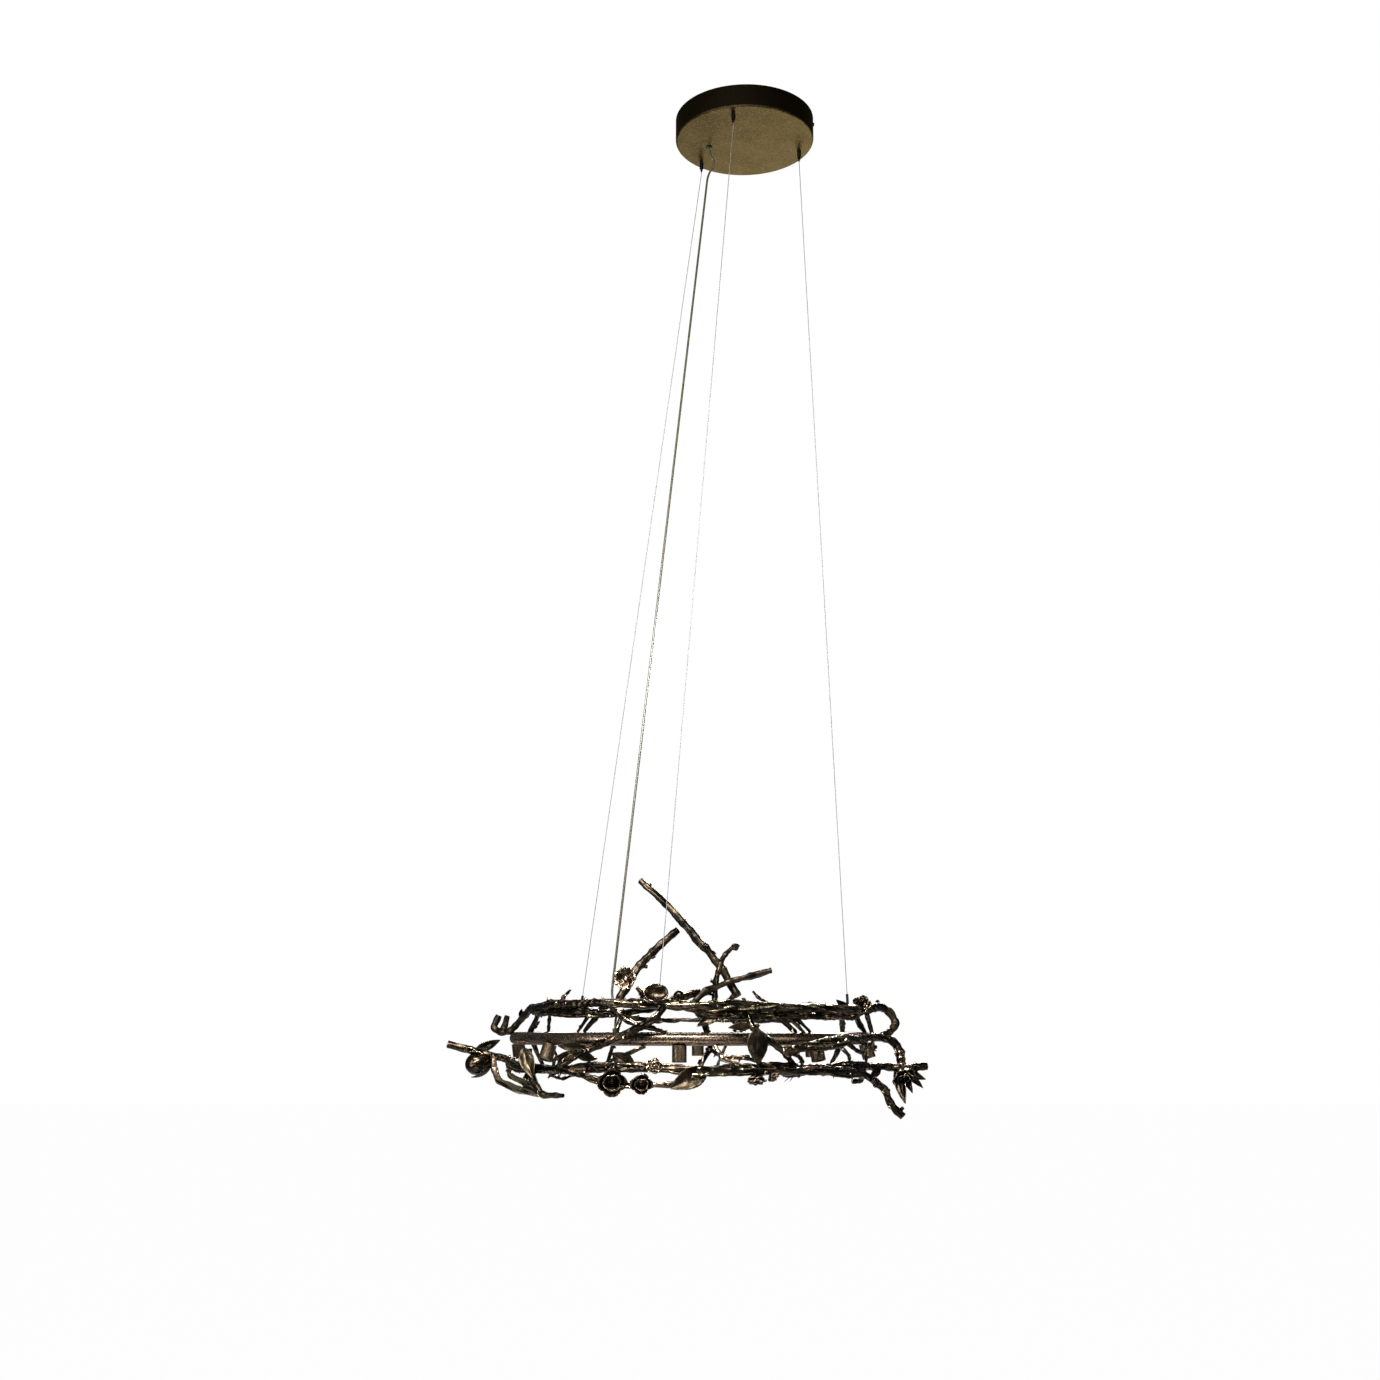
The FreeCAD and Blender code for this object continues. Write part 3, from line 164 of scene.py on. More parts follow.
# where a twig lies on the tube: roundTurn goes from the tube's top to its outside
def onTube(angle, roundTurn, thickness, bite=1.2):
    reach = tubeRadius / mm + girth[thickness] / 2 - bite
    turn = math.radians(roundTurn)
    return ringPoint(angle, reach * math.sin(turn), reach * math.cos(turn))


def ringAngle(point):
    return math.degrees(math.atan2(point.y - ringCentre.y, point.x - ringCentre.x)) % 360


def along(name, angle):
    axis = twigAxes[name]
    for start, end in zip(axis, axis[1:]):
        before = (ringAngle(start) - angle + 180) % 360 - 180
        after = (ringAngle(end) - angle + 180) % 360 - 180
        if before * after <= 0 and abs(before - after) < 90:
            return start.lerp(end, before / (before - after))
    raise ValueError(f"{name} doesn't pass {angle} degrees")


def partway(name, straight, share):
    return twigAxes[name][straight].lerp(twigAxes[name][straight + 1], share)


def shifted(point, out, up):
    turn = math.radians(ringAngle(point))
    return point + Vector((math.cos(turn) * out, math.sin(turn) * out, up)) * mm


# a spot is a place already, or a twig's name and an angle, or an angle, out and up
def placeOf(spot):
    if isinstance(spot, Vector):
        return spot
    return along(*spot) if isinstance(spot[0], str) else ringPoint(*spot)


# the cord drops from its gland in the canopy, kinks once, and runs straight to the ring
cordRun = {
    "exit": (-77, 25), "inside": 12, "diameter": 4.5, "length": 1966,
    "kink": [(0, 0, -14), (14, 3, -35), (-3, 4, -62)],
    "run": [(-83, 23.5, -143), (-258, -276.5, -1855.5)],
    "landing": [(243.4, -24, 76), (246.4, -17, 47), (247, 0, 32), (247, 0, 10.5)],
}


def makeCord():
    exitPoint = Vector((cordRun["exit"][0] * mm, cordRun["exit"][1] * mm, canopyLow.z))
    route = [exitPoint + Vector((0, 0, cordRun["inside"] * mm))]
    route += [exitPoint + Vector(step) * mm for step in cordRun["kink"]]
    route += [Vector(place) * mm for place in cordRun["run"]]
    route += [ringPoint(*spot) for spot in cordRun["landing"]]
    line = bpy.data.curves.new("powerCord", "CURVE")
    line.dimensions = "3D"
    line.bevel_depth = 1
    line.bevel_resolution = 5
    line.resolution_u = 16
    line.use_fill_caps = True
    spline = line.splines.new("NURBS")
    spline.points.add(len(route) - 1)
    for spot, place in zip(spline.points, route):
        spot.co = (*place, 1)
        spot.radius = cordRun["diameter"] * mm / 2
    spline.order_u = 3
    spline.use_endpoint_u = True
    piece = linkPiece("powerCord", line)
    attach(piece, "chandelier")
    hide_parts("power_cord")
    return piece


powerCord = makeCord()
print("camera and cord are set")


# node groups: each effect is built once and placed in the materials that use it
def newGroup(name, inputs, outputs):
    tree = bpy.data.node_groups.new(name, "ShaderNodeTree")
    for label, kind, value in inputs:
        socket = tree.interface.new_socket(label, in_out="INPUT", socket_type=kind)
        socket.default_value = value
    for label, kind in outputs:
        tree.interface.new_socket(label, in_out="OUTPUT", socket_type=kind)
    tree.nodes.new("NodeGroupInput").name = "groupIn"
    tree.nodes.new("NodeGroupOutput").name = "groupOut"
    return tree


def addNode(tree, kind, **values):
    node = tree.nodes.new(kind)
    for name, value in values.items():
        setattr(node, name, value)
    return node


def addNoise(tree, coordinates, scale, detail=4.0, roughness=0.55):
    node = addNode(tree, "ShaderNodeTexNoise")
    node.inputs["Detail"].default_value = detail
    node.inputs["Roughness"].default_value = roughness
    tree.links.new(coordinates, node.inputs["Vector"])
    if hasattr(scale, "is_linked"):
        tree.links.new(scale, node.inputs["Scale"])
    else:
        node.inputs["Scale"].default_value = scale
    return node.outputs["Fac"]


def addRange(tree, value, low, high):
    node = addNode(tree, "ShaderNodeMapRange", interpolation_type="SMOOTHSTEP")
    tree.links.new(value, node.inputs["Value"])
    for label, edge in (("From Min", low), ("From Max", high)):
        if hasattr(edge, "is_linked"):
            tree.links.new(edge, node.inputs[label])
        else:
            node.inputs[label].default_value = edge
    return node.outputs["Result"]


def addMath(tree, operation, first, second):
    node = addNode(tree, "ShaderNodeMath", operation=operation)
    for socket, value in zip(node.inputs, (first, second)):
        if hasattr(value, "is_linked"):
            tree.links.new(value, socket)
        else:
            socket.default_value = value
    return node.outputs["Value"]


def addScaled(tree, value, factor):
    return addMath(tree, "MULTIPLY", value, factor)


def addMix(tree, factor, first, second):
    node = addNode(tree, "ShaderNodeMix", data_type="RGBA")
    tree.links.new(factor, node.inputs["Factor"])
    for label, colour in (("A", first), ("B", second)):
        socket = next(s for s in node.inputs if s.name == label and s.type == "RGBA")
        if hasattr(colour, "is_linked"):
            tree.links.new(colour, socket)
        else:
            socket.default_value = colour
    return next(s for s in node.outputs if s.type == "RGBA")


# rubbed metal: where a dark patina has worn through on ridges and in patches; the ridge input also
# brings a painted top highlight from castMaterial, so the mask is real wear plus painted highlight
wearPattern = {"scratchScale": 420.0, "scratches": 0.25, "ridgeAndTopHighlight": (0.49, 0.56), "ridges": 0.55,
               "edge": 1.25, "wear": 0.6, "softness": 0.16}


def buildRubbingAndTopHighlight():
    tree = newGroup("rubbedMetalAndTopHighlight", [
        ("Coordinates", "NodeSocketVector", (0, 0, 0)), ("RidgeAndTopHighlight", "NodeSocketFloat", 0.5),
        ("Patch Scale", "NodeSocketFloat", 45.0), ("Wear", "NodeSocketFloat", 0.5),
    ], [("Mask", "NodeSocketFloat")])
    source = tree.nodes["groupIn"].outputs
    patches = addNoise(tree, source["Coordinates"], source["Patch Scale"])
    scratches = addNoise(tree, source["Coordinates"], wearPattern["scratchScale"], 2.0)
    ridgeAndTopHighlight = addRange(tree, source["RidgeAndTopHighlight"], *wearPattern["ridgeAndTopHighlight"])
    wornAndTopHighlight = addMath(tree, "ADD", addScaled(tree, ridgeAndTopHighlight, wearPattern["ridges"]), patches)
    wornAndTopHighlight = addMath(tree, "ADD", wornAndTopHighlight, addScaled(tree, scratches, wearPattern["scratches"]))
    edge = addMath(tree, "SUBTRACT", wearPattern["edge"],
                   addScaled(tree, source["Wear"], wearPattern["wear"]))
    mask = addRange(tree, wornAndTopHighlight, edge, addMath(tree, "ADD", edge, wearPattern["softness"]))
    tree.links.new(mask, tree.nodes["groupOut"].inputs["Mask"])
    return tree


# grain: a height that mixes two sizes of speckle
grainPattern = {"broadScale": 0.3, "broad": 0.8, "speckle": (0.48, 0.7)}


def buildGrain():
    tree = newGroup("metalGrain", [
        ("Coordinates", "NodeSocketVector", (0, 0, 0)), ("Scale", "NodeSocketFloat", 600.0),
    ], [("Height", "NodeSocketFloat"), ("Speckle", "NodeSocketFloat")])
    source = tree.nodes["groupIn"].outputs
    fine = addNoise(tree, source["Coordinates"], source["Scale"], 2.0)
    broadScale = addScaled(tree, source["Scale"], grainPattern["broadScale"])
    broad = addNoise(tree, source["Coordinates"], broadScale, 3.0)
    height = addMath(tree, "ADD", fine, addScaled(tree, broad, grainPattern["broad"]))
    speckled = addRange(tree, fine, *grainPattern["speckle"])
    tree.links.new(height, tree.nodes["groupOut"].inputs["Height"])
    tree.links.new(speckled, tree.nodes["groupOut"].inputs["Speckle"])
    return tree


rubbedMetalAndTopHighlight = buildRubbingAndTopHighlight()
metalGrain = buildGrain()


def newMaterial(name):
    material = bpy.data.materials.new(name)
    material.use_nodes = True
    tree = material.node_tree
    shader = next(n for n in tree.nodes if n.type == "BSDF_PRINCIPLED")
    place = addNode(tree, "ShaderNodeTexCoord").outputs["Object"]
    return material, tree, shader, place


def useGroup(tree, group, place, **values):
    node = addNode(tree, "ShaderNodeGroup", node_tree=group)
    tree.links.new(place, node.inputs["Coordinates"])
    for name, value in values.items():
        node.inputs[name.replace("_", " ")].default_value = value
    return node


def addBump(tree, shader, height, strength, distance):
    bump = addNode(tree, "ShaderNodeBump")
    bump.inputs["Strength"].default_value = strength
    bump.inputs["Distance"].default_value = distance
    tree.links.new(height, bump.inputs["Height"])
    tree.links.new(bump.outputs["Normal"], shader.inputs["Normal"])


# the polish amount is a painted top highlight: surfaces whose normal points up get extra copper and
# olive gold, as if lit from above
castFinish = {
    "soot": (0.010, 0.008, 0.006, 1), "brown": (0.046, 0.034, 0.021, 1),
    "copper": (0.60, 0.41, 0.29, 1), "oliveGold": (0.50, 0.44, 0.26, 1),
    "grainScale": 750.0, "upward": (0.2, 0.75), "paintedTopHighlight": 0.030, "stainScale": 28.0,
    "stain": (0.42, 0.62), "hueScale": 14.0, "hue": (0.44, 0.58), "wornRough": 0.04,
    "speckRough": 0.10, "metallic": 0.98, "bumpDepth": 0.0004,
}


def castMaterial(name, wear, patchScale, bump=0.18, gloss=0.22):
    material, tree, shader, place = newMaterial(name)
    # normal Z picks out the up-facing surfaces; their painted top highlight is added to the real
    # ridge wear before the mask
    surface = addNode(tree, "ShaderNodeNewGeometry")
    upward = addNode(tree, "ShaderNodeSeparateXYZ")
    tree.links.new(surface.outputs["Normal"], upward.inputs["Vector"])
    facing = addRange(tree, upward.outputs["Z"], *castFinish["upward"])
    paintedTopHighlight = addScaled(tree, facing, castFinish["paintedTopHighlight"])
    ridgeAndTopHighlight = addMath(tree, "ADD", surface.outputs["Pointiness"], paintedTopHighlight)
    rubbingAndTopHighlight = useGroup(tree, rubbedMetalAndTopHighlight, place, Wear=wear, Patch_Scale=patchScale)
    tree.links.new(ridgeAndTopHighlight, rubbingAndTopHighlight.inputs["RidgeAndTopHighlight"])
    mask = rubbingAndTopHighlight.outputs["Mask"]
    grain = useGroup(tree, metalGrain, place, Scale=castFinish["grainScale"])
    stain = addRange(tree, addNoise(tree, place, castFinish["stainScale"]), *castFinish["stain"])
    hue = addRange(tree, addNoise(tree, place, castFinish["hueScale"], 2.0), *castFinish["hue"])
    dark = addMix(tree, stain, castFinish["soot"], castFinish["brown"])
    bright = addMix(tree, hue, castFinish["oliveGold"], castFinish["copper"])
    tree.links.new(addMix(tree, mask, dark, bright), shader.inputs["Base Color"])
    smooth = addMath(tree, "ADD", gloss, addScaled(tree, mask, castFinish["wornRough"]))
    specks = addScaled(tree, grain.outputs["Speckle"], castFinish["speckRough"])
    rough = addMath(tree, "ADD", smooth, specks)
    tree.links.new(rough, shader.inputs["Roughness"])
    shader.inputs["Metallic"].default_value = castFinish["metallic"]
    addBump(tree, shader, grain.outputs["Height"], bump, castFinish["bumpDepth"])
    return material


speckle = {"cloudScale": 18.0, "cloud": (0.38, 0.64), "rough": 0.15, "bumpDepth": 0.0003}


# sheet, tube and plastic: two tones in clouds, with a third in specks
def speckledMaterial(name, tones, roughness, metallic, grainScale, bump):
    material, tree, shader, place = newMaterial(name)
    grain = useGroup(tree, metalGrain, place, Scale=grainScale)
    cloud = addRange(tree, addNoise(tree, place, speckle["cloudScale"]), *speckle["cloud"])
    base = addMix(tree, cloud, tones[0], tones[1])
    speckled = addMix(tree, grain.outputs["Speckle"], base, tones[2])
    tree.links.new(speckled, shader.inputs["Base Color"])
    rough = addMath(tree, "ADD", roughness,
                    addScaled(tree, grain.outputs["Speckle"], speckle["rough"]))
    tree.links.new(rough, shader.inputs["Roughness"])
    shader.inputs["Metallic"].default_value = metallic
    addBump(tree, shader, grain.outputs["Height"], bump, speckle["bumpDepth"])
    return material, tree, shader, place, speckled


# cast bronze in its finishes: wear, patch scale, bump and gloss
# tierBronzePaintedHighlight and barBronzePaintedHighlight are lit copies of cast bronze with extra
# wear: painted highlight on the upper front tiers and on the left loop bars
castFinishes = {
    "castBronze": (0.34, 42.0), "tierBronzePaintedHighlight": (0.66, 34.0), "darkBronze": (-0.12, 42.0, 0.08, 0.36),
    "paleBronze": (0.52, 26.0), "leafBronze": (0.06, 60.0, 0.18, 0.30), "petalBronze": (0.32, 55.0),
    "rimBronze": (0.80, 60.0), "barBronzePaintedHighlight": (0.86, 20.0, 0.10), "budBronze": (0.24, 34.0),
}
# the other metals and plastics: three tones, roughness, metallic, grain scale and bump
blackTones = ((0.012, 0.011, 0.010, 1), (0.020, 0.018, 0.016, 1), (0.045, 0.040, 0.035, 1))
speckledFinishes = {
    "tubeBronze": (((0.044, 0.031, 0.021, 1), (0.080, 0.057, 0.039, 1), (0.33, 0.24, 0.17, 1)),
                   0.24, 0.95, 620.0, 0.22),
    "spotBronze": (((0.040, 0.029, 0.019, 1), (0.072, 0.052, 0.033, 1), (0.18, 0.13, 0.082, 1)),
                   0.36, 0.95, 520.0, 0.25),
    "blackMetal": (blackTones, 0.40, 1.0, 900.0, 0.15),
    "blackPlastic": (blackTones, 0.55, 0.0, 1100.0, 0.1),
    "plateSteel": (((0.46, 0.46, 0.44, 1), (0.56, 0.56, 0.54, 1), (0.66, 0.66, 0.64, 1)),
                   0.38, 0.9, 800.0, 0.1),
    "wireSteel": (((0.12, 0.12, 0.12, 1), (0.16, 0.16, 0.16, 1), (0.23, 0.23, 0.22, 1)),
                  0.55, 0.35, 1600.0, 0.1),
    "driverPlastic": (((0.62, 0.62, 0.60, 1), (0.70, 0.70, 0.68, 1), (0.78, 0.78, 0.76, 1)),
                      0.5, 0.0, 900.0, 0.1),
    "terminalPlastic": (((0.55, 0.50, 0.38, 1), (0.62, 0.57, 0.44, 1), (0.70, 0.66, 0.54, 1)),
                        0.45, 0.0, 900.0, 0.1),
    "cordJacket": (((0.020, 0.018, 0.010, 1), (0.034, 0.030, 0.016, 1), (0.12, 0.11, 0.06, 1)),
                   0.28, 0.0, 1500.0, 0.25),
}
finishes = {name: castMaterial(name, *values) for name, values in castFinishes.items()}
for finishName, values in speckledFinishes.items():
    finishes[finishName], _, shader = speckledMaterial(finishName, *values)[:3]
    if finishName == "blackMetal":
        shader.inputs["Specular Tint"].default_value = (0.40, 0.38, 0.36, 1)
    elif finishName == "blackPlastic":
        shader.inputs["Specular IOR Level"].default_value = 0.15


# the canopy is near black round its side and speckled olive gold underneath, switched by height
# above its bottom
canopyFinish = {
    "tones": ((0.014, 0.0095, 0.0037, 1), (0.028, 0.0195, 0.0078, 1), (0.118, 0.087, 0.040, 1)),
    "side": (0.014, 0.010, 0.005, 1), "edge": (0.5, 3), "tint": (0.9, 0.8, 0.62, 1),
}


def canopyMaterial():
    material, tree, shader, place, speckled = speckledMaterial(
        "canopyBronze", canopyFinish["tones"], 0.50, 1.0, 330.0, 0.35)
    height = addNode(tree, "ShaderNodeSeparateXYZ")
    tree.links.new(place, height.inputs["Vector"])
    edge = [canopyLow.z + rise * mm for rise in canopyFinish["edge"]]
    side = addRange(tree, height.outputs["Z"], *edge)
    toned = addMix(tree, side, speckled, canopyFinish["side"])
    tree.links.new(toned, shader.inputs["Base Color"])
    shader.inputs["Specular Tint"].default_value = canopyFinish["tint"]
    return material


lensFinish = {"tones": ((0.74, 0.72, 0.62, 1), (0.86, 0.85, 0.78, 1)), "grainScale": 700.0,
              "roughness": 0.08, "coat": 0.6}


def lensMaterial():
    material, tree, shader, place = newMaterial("lensClear")
    grain = useGroup(tree, metalGrain, place, Scale=lensFinish["grainScale"])
    pale = addMix(tree, grain.outputs["Speckle"], *lensFinish["tones"])
    tree.links.new(pale, shader.inputs["Base Color"])
    shader.inputs["Roughness"].default_value = lensFinish["roughness"]
    shader.inputs["Coat Weight"].default_value = lensFinish["coat"]
    return material


finishes["canopyBronze"] = canopyMaterial()
finishes["lensClear"] = lensMaterial()
finishOfSlot = {
    "cast_bronze": "castBronze", "tube_bronze": "tubeBronze", "spot_bronze": "spotBronze",
    "canopy_bronze": "canopyBronze", "plate_steel": "plateSteel", "black_metal": "blackMetal",
    "wire_steel": "wireSteel", "cord_jacket": "cordJacket", "black_plastic": "blackPlastic",
    "driver_case": "driverPlastic", "terminal_plastic": "terminalPlastic",
    "lens_clear": "lensClear",
}


def dressPiece(piece, finish):
    piece.data.materials.clear()
    piece.data.materials.append(finishes[finish])


# a cast piece rides with the chandelier and stands for a node, if it has one
def finishPiece(piece, finish, node=None):
    dressPiece(piece, finish)
    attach(piece, "chandelier")
    if node in frame["nodes"]:
        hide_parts(node)


slotOf = {part["node"]: part["material_slot"] for part in frame["record"]["subparts"]}
for nodeName, slotName in slotOf.items():
    dressPiece(frame["nodes"][nodeName], finishOfSlot[slotName])
dressPiece(powerCord, "cordJacket")

# the turned, bent and drawn metal is copied with its corners joined, so that it shades smoothly
smoothNodes = {"sharp": 32, "merge": 0.002, "weight": 50, "names": [
    "canopy_shell", "canopy_gland", "gripper_bodies", "gripper_plunger_a", "gripper_plunger_b",
    "gripper_plunger_c", "ring_tube", "ring_gland", "suspension_wires", "wire_ferrules"]
    + [f"spot_{number}_{piece}" for number in range(1, 9) for piece in ("housing", "light")]}


def bodyOf(node):
    bodies = frame["record"]["behaviour"]["bodies"]
    return next(body for body, nodes in bodies.items() if node in nodes)


def makeSmoothCopies():
    for node in smoothNodes["names"]:
        name = "".join(word.title() for word in node.split("_"))
        piece = linkPiece(name, frame["nodes"][node].data.copy())
        makeActive(piece)
        bpy.ops.object.mode_set(mode="EDIT")
        bpy.ops.mesh.select_all(action="SELECT")
        bpy.ops.mesh.remove_doubles(threshold=smoothNodes["merge"] * mm)
        bpy.ops.object.mode_set(mode="OBJECT")
        bpy.ops.object.shade_smooth_by_angle(angle=math.radians(smoothNodes["sharp"]))
        applyModifier(piece, "WEIGHTED_NORMAL", mode="FACE_AREA", weight=smoothNodes["weight"],
                      keep_sharp=True)
        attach(piece, bodyOf(node))
        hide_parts(node)


makeSmoothCopies()
print("materials are built and the frame is dressed")

# every twig is swept with this cross-section: a rod with uneven grooves along it
barkProfile = {"corners": 40, "grooves": ((5, 0.045, 1.0), (9, 0.040, 2.1), (14, 0.022, 0.4))}


def makeProfile():
    line = bpy.data.curves.new("barkProfile", "CURVE")
    line.dimensions = "2D"
    spline = line.splines.new("POLY")
    spline.points.add(barkProfile["corners"] - 1)
    for index, corner in enumerate(spline.points):
        turn = 2 * math.pi * index / barkProfile["corners"]
        reach = 1 + sum(deep * math.sin(count * turn + start)
                        for count, deep, start in barkProfile["grooves"])
        corner.co = (reach * math.cos(turn), reach * math.sin(turn), 0, 1)
    spline.use_cyclic_u = True
    return linkPiece("barkProfile", line)


barkSection = makeProfile()

castTexture = bpy.data.textures.new("castLumps", "CLOUDS")
castTexture.noise_scale = 12 * mm
castTexture.noise_depth = 2
pitTexture = bpy.data.textures.new("castPits", "STUCCI")
pitTexture.noise_scale = 3.2 * mm

# how a twig grows: sample step, softened corners, swellings, side stubs and thorns
growth = {
    "step": 2.5, "corner": 11, "softShare": 0.32, "wander": 1.1, "wanderSpan": 34,
    "cornerSwell": 0.15, "bumpEvery": 30, "bump": 0.15, "bumpWidth": 4.5, "firstBump": (0.4, 0.9),
    "bumpHeight": (0.6, 1.4), "bumpGap": (0.7, 1.3), "rough": 0.07, "roughScale": 60,
    "stubShare": 0.22, "thornShare": 0.1, "spiral": 0.35, "collar": 0.07, "voxel": 1.15,
    "rounds": 5, "lumps": 0.9, "pits": 0.12, "merge": 0.01, "strands": True, "keepClear": 15,
}
# side stubs and thorns: how they lean, how far they reach and how thick they are at foot and tip
shootHabit = {"lean": (0.1, 0.6), "reach": (2.5, 6.5), "thornExtra": 2.5, "stub": 0.5,
              "thorn": 0.42, "stubTip": 0.86, "thornTip": 0.12, "bow": 0.12, "knob": 1.1,
              "stages": 5}
strandHabit = {"every": 95, "thick": 4.2, "vary": (0.8, 1.3), "start": (5, 30), "span": (35, 90),
               "gap": (0.45, 1.0), "shortest": 30, "winding": 2.4}
spotRoom = [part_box(f"spot_{number}_housing") for number in range(1, 9)]


def nearSpot(point):
    room = growth["keepClear"] * mm
    for low, high in spotRoom:
        if all(low[i] - room < point[i] < high[i] + room for i in range(3)):
            return True
    return False


def walkAxis(points, girths, step):
    last = len(points) - 1
    samples = []
    knots = []
    for index in range(last):
        start, end = points[index], points[index + 1]
        run = end - start
        before = (start - points[index - 1]).length if index else 0
        after = (points[index + 2] - end).length if index + 1 < last else 0
        softStart = min(growth["corner"] * mm, growth["softShare"] * min(before, run.length))
        softEnd = min(growth["corner"] * mm, growth["softShare"] * min(after, run.length))
        count = max(1, round((run.length - softStart - softEnd) / step))
        for stage in range(count + 1):
            share = (softStart + (run.length - softStart - softEnd) * stage / count) / run.length
            thick = girths[index] + (girths[index + 1] - girths[index]) * share
            samples.append((start.lerp(end, share), thick))
        if softEnd:
            onward = (points[index + 2] - end).normalized() * softEnd
            inward = end - run.normalized() * softEnd
            for share in (0.25, 0.5, 0.75):
                bend = inward.lerp(end, share).lerp(end.lerp(end + onward, share), share)
                samples.append((bend, girths[index + 1]))
                if share == 0.5:
                    knots.append(len(samples) - 1)
    return samples, knots


def addSpline(line, samples):
    spline = line.splines.new("POLY")
    spline.points.add(len(samples) - 1)
    for spot, (place, radius, tilt) in zip(spline.points, samples):
        spot.co = (*place, 1)
        spot.radius = radius
        spot.tilt = tilt


def addShoot(line, foot, heading, radius, length, thorn):
    tip = shootHabit["thornTip"] if thorn else shootHabit["stubTip"]
    bow = heading.orthogonal().normalized() * length * shootHabit["bow"]
    samples = []
    for stage in range(shootHabit["stages"] + 1):
        share = stage / shootHabit["stages"]
        place = foot + heading * length * share + bow * share * share
        thick = radius * (1 + (tip - 1) * share)
        if not thorn and share == 1:
            thick *= shootHabit["knob"]
        samples.append((place, thick, 0.0))
    addSpline(line, samples)


# a thin strand leaves the twig, winds beside it for a while and joins it again
def addStrand(line, samples, lengths, start, span, thick, draw):
    turn = draw.uniform(0, 2 * math.pi)
    winding = draw.uniform(-strandHabit["winding"], strandHabit["winding"])
    strand = []
    for index in range(1, len(samples) - 1):
        share = (lengths[index] - start) / span
        if not 0 <= share <= 1:
            continue
        place, radius, _ = samples[index]
        forward = (samples[index + 1][0] - samples[index - 1][0]).normalized()
        side = forward.cross(Vector((0, 0, 1))).normalized()
        heading = turn + winding * share
        outward = side * math.cos(heading) + forward.cross(side) * math.sin(heading)
        rise = math.sin(math.pi * share) ** 0.5
        reach = radius * 0.72 + thick * 0.45 * rise
        strand.append((place + outward * reach, thick / 2 * (0.45 + 0.55 * rise), 0.0))
    if len(strand) > 5 and not any(nearSpot(place) for place, _, _ in strand):
        addSpline(line, strand)


def growTwig(line, name, points, start, end, habit, draw):
    twigAxes[name] = points
    last = len(points) - 1
    girths = [(girth[start] * (last - index) + girth[end] * index) / last * mm
              for index in range(last + 1)]
    walked, knots = walkAxis(points, girths, growth["step"] * mm)
    lengths = [0.0]
    for (here, _), (there, _) in zip(walked, walked[1:]):
        lengths.append(lengths[-1] + (there - here).length)
    swells = [(lengths[knot], growth["cornerSwell"]) for knot in knots]
    reached = habit["bumpEvery"] * mm * draw.uniform(*growth["firstBump"])
    while reached < lengths[-1] - 4 * mm:
        swells.append((reached, habit["bump"] * draw.uniform(*growth["bumpHeight"])))
        reached += habit["bumpEvery"] * mm * draw.uniform(*growth["bumpGap"])
    samples = []
    for (place, thick), length in zip(walked, lengths):
        swell = 1 + noise.noise(place * growth["roughScale"]) * growth["rough"]
        for centre, height in swells:
            gap = (length - centre) / (growth["bumpWidth"] * mm)
            swell += height * math.exp(-gap * gap * (1.6 if gap < 0 else 0.6))
        ends = min(length, lengths[-1] - length)
        swell += growth["collar"] * max(0, 1 - ends / (2.5 * mm))
        wander = noise.noise_vector(place / (growth["wanderSpan"] * mm)) * growth["wander"] * mm
        samples.append((place + wander, thick / 2 * swell, growth["spiral"] * length / (20 * mm)))
    addSpline(line, samples)
    twigSkins[name] = samples
    reached = draw.uniform(*strandHabit["start"]) * mm if habit["strands"] else lengths[-1]
    while reached < lengths[-1] - strandHabit["shortest"] * mm:
        span = min(draw.uniform(*strandHabit["span"]) * mm, lengths[-1] - reached - 4 * mm)
        thick = strandHabit["thick"] * mm * draw.uniform(*strandHabit["vary"])
        addStrand(line, samples, lengths, reached, span, min(thick, walked[0][1] * 0.6), draw)
        reached += strandHabit["every"] * mm * draw.uniform(*strandHabit["gap"])
    for centre, _ in swells:
        index = min(range(len(lengths)), key=lambda i: abs(lengths[i] - centre))
        if index < 2 or index > len(samples) - 3:
            continue
        foot, radius, _ = samples[index]
        forward = (samples[index + 1][0] - samples[index - 1][0]).normalized()
        side = forward.orthogonal().normalized()
        turn = draw.uniform(0, 2 * math.pi)
        side = side * math.cos(turn) + forward.cross(side) * math.sin(turn)
        heading = (side + forward * draw.uniform(*shootHabit["lean"])).normalized()
        chance = draw.random()
        reach = radius + draw.uniform(*shootHabit["reach"]) * mm
        if nearSpot(foot + heading * reach):
            continue
        if chance < habit["stubShare"]:
            addShoot(line, foot, heading, radius * shootHabit["stub"], reach, False)
        elif chance < habit["stubShare"] + habit["thornShare"]:
            reach += shootHabit["thornExtra"] * mm
            addShoot(line, foot, heading, radius * shootHabit["thorn"], reach, True)


# what overlaps becomes one skin, softened and roughened like a casting
def castSkin(piece, voxel, rounds, lumps, pits=0):
    applyModifier(piece, "REMESH", mode="VOXEL", voxel_size=voxel * mm)
    applyModifier(piece, "SMOOTH", factor=0.5, iterations=rounds)
    for texture, strength in ((castTexture, lumps), (pitTexture, pits)):
        if strength:
            applyModifier(piece, "DISPLACE", texture=texture, texture_coords="LOCAL",
                          mid_level=0.5, strength=strength * mm)
    shadeSmooth(piece)


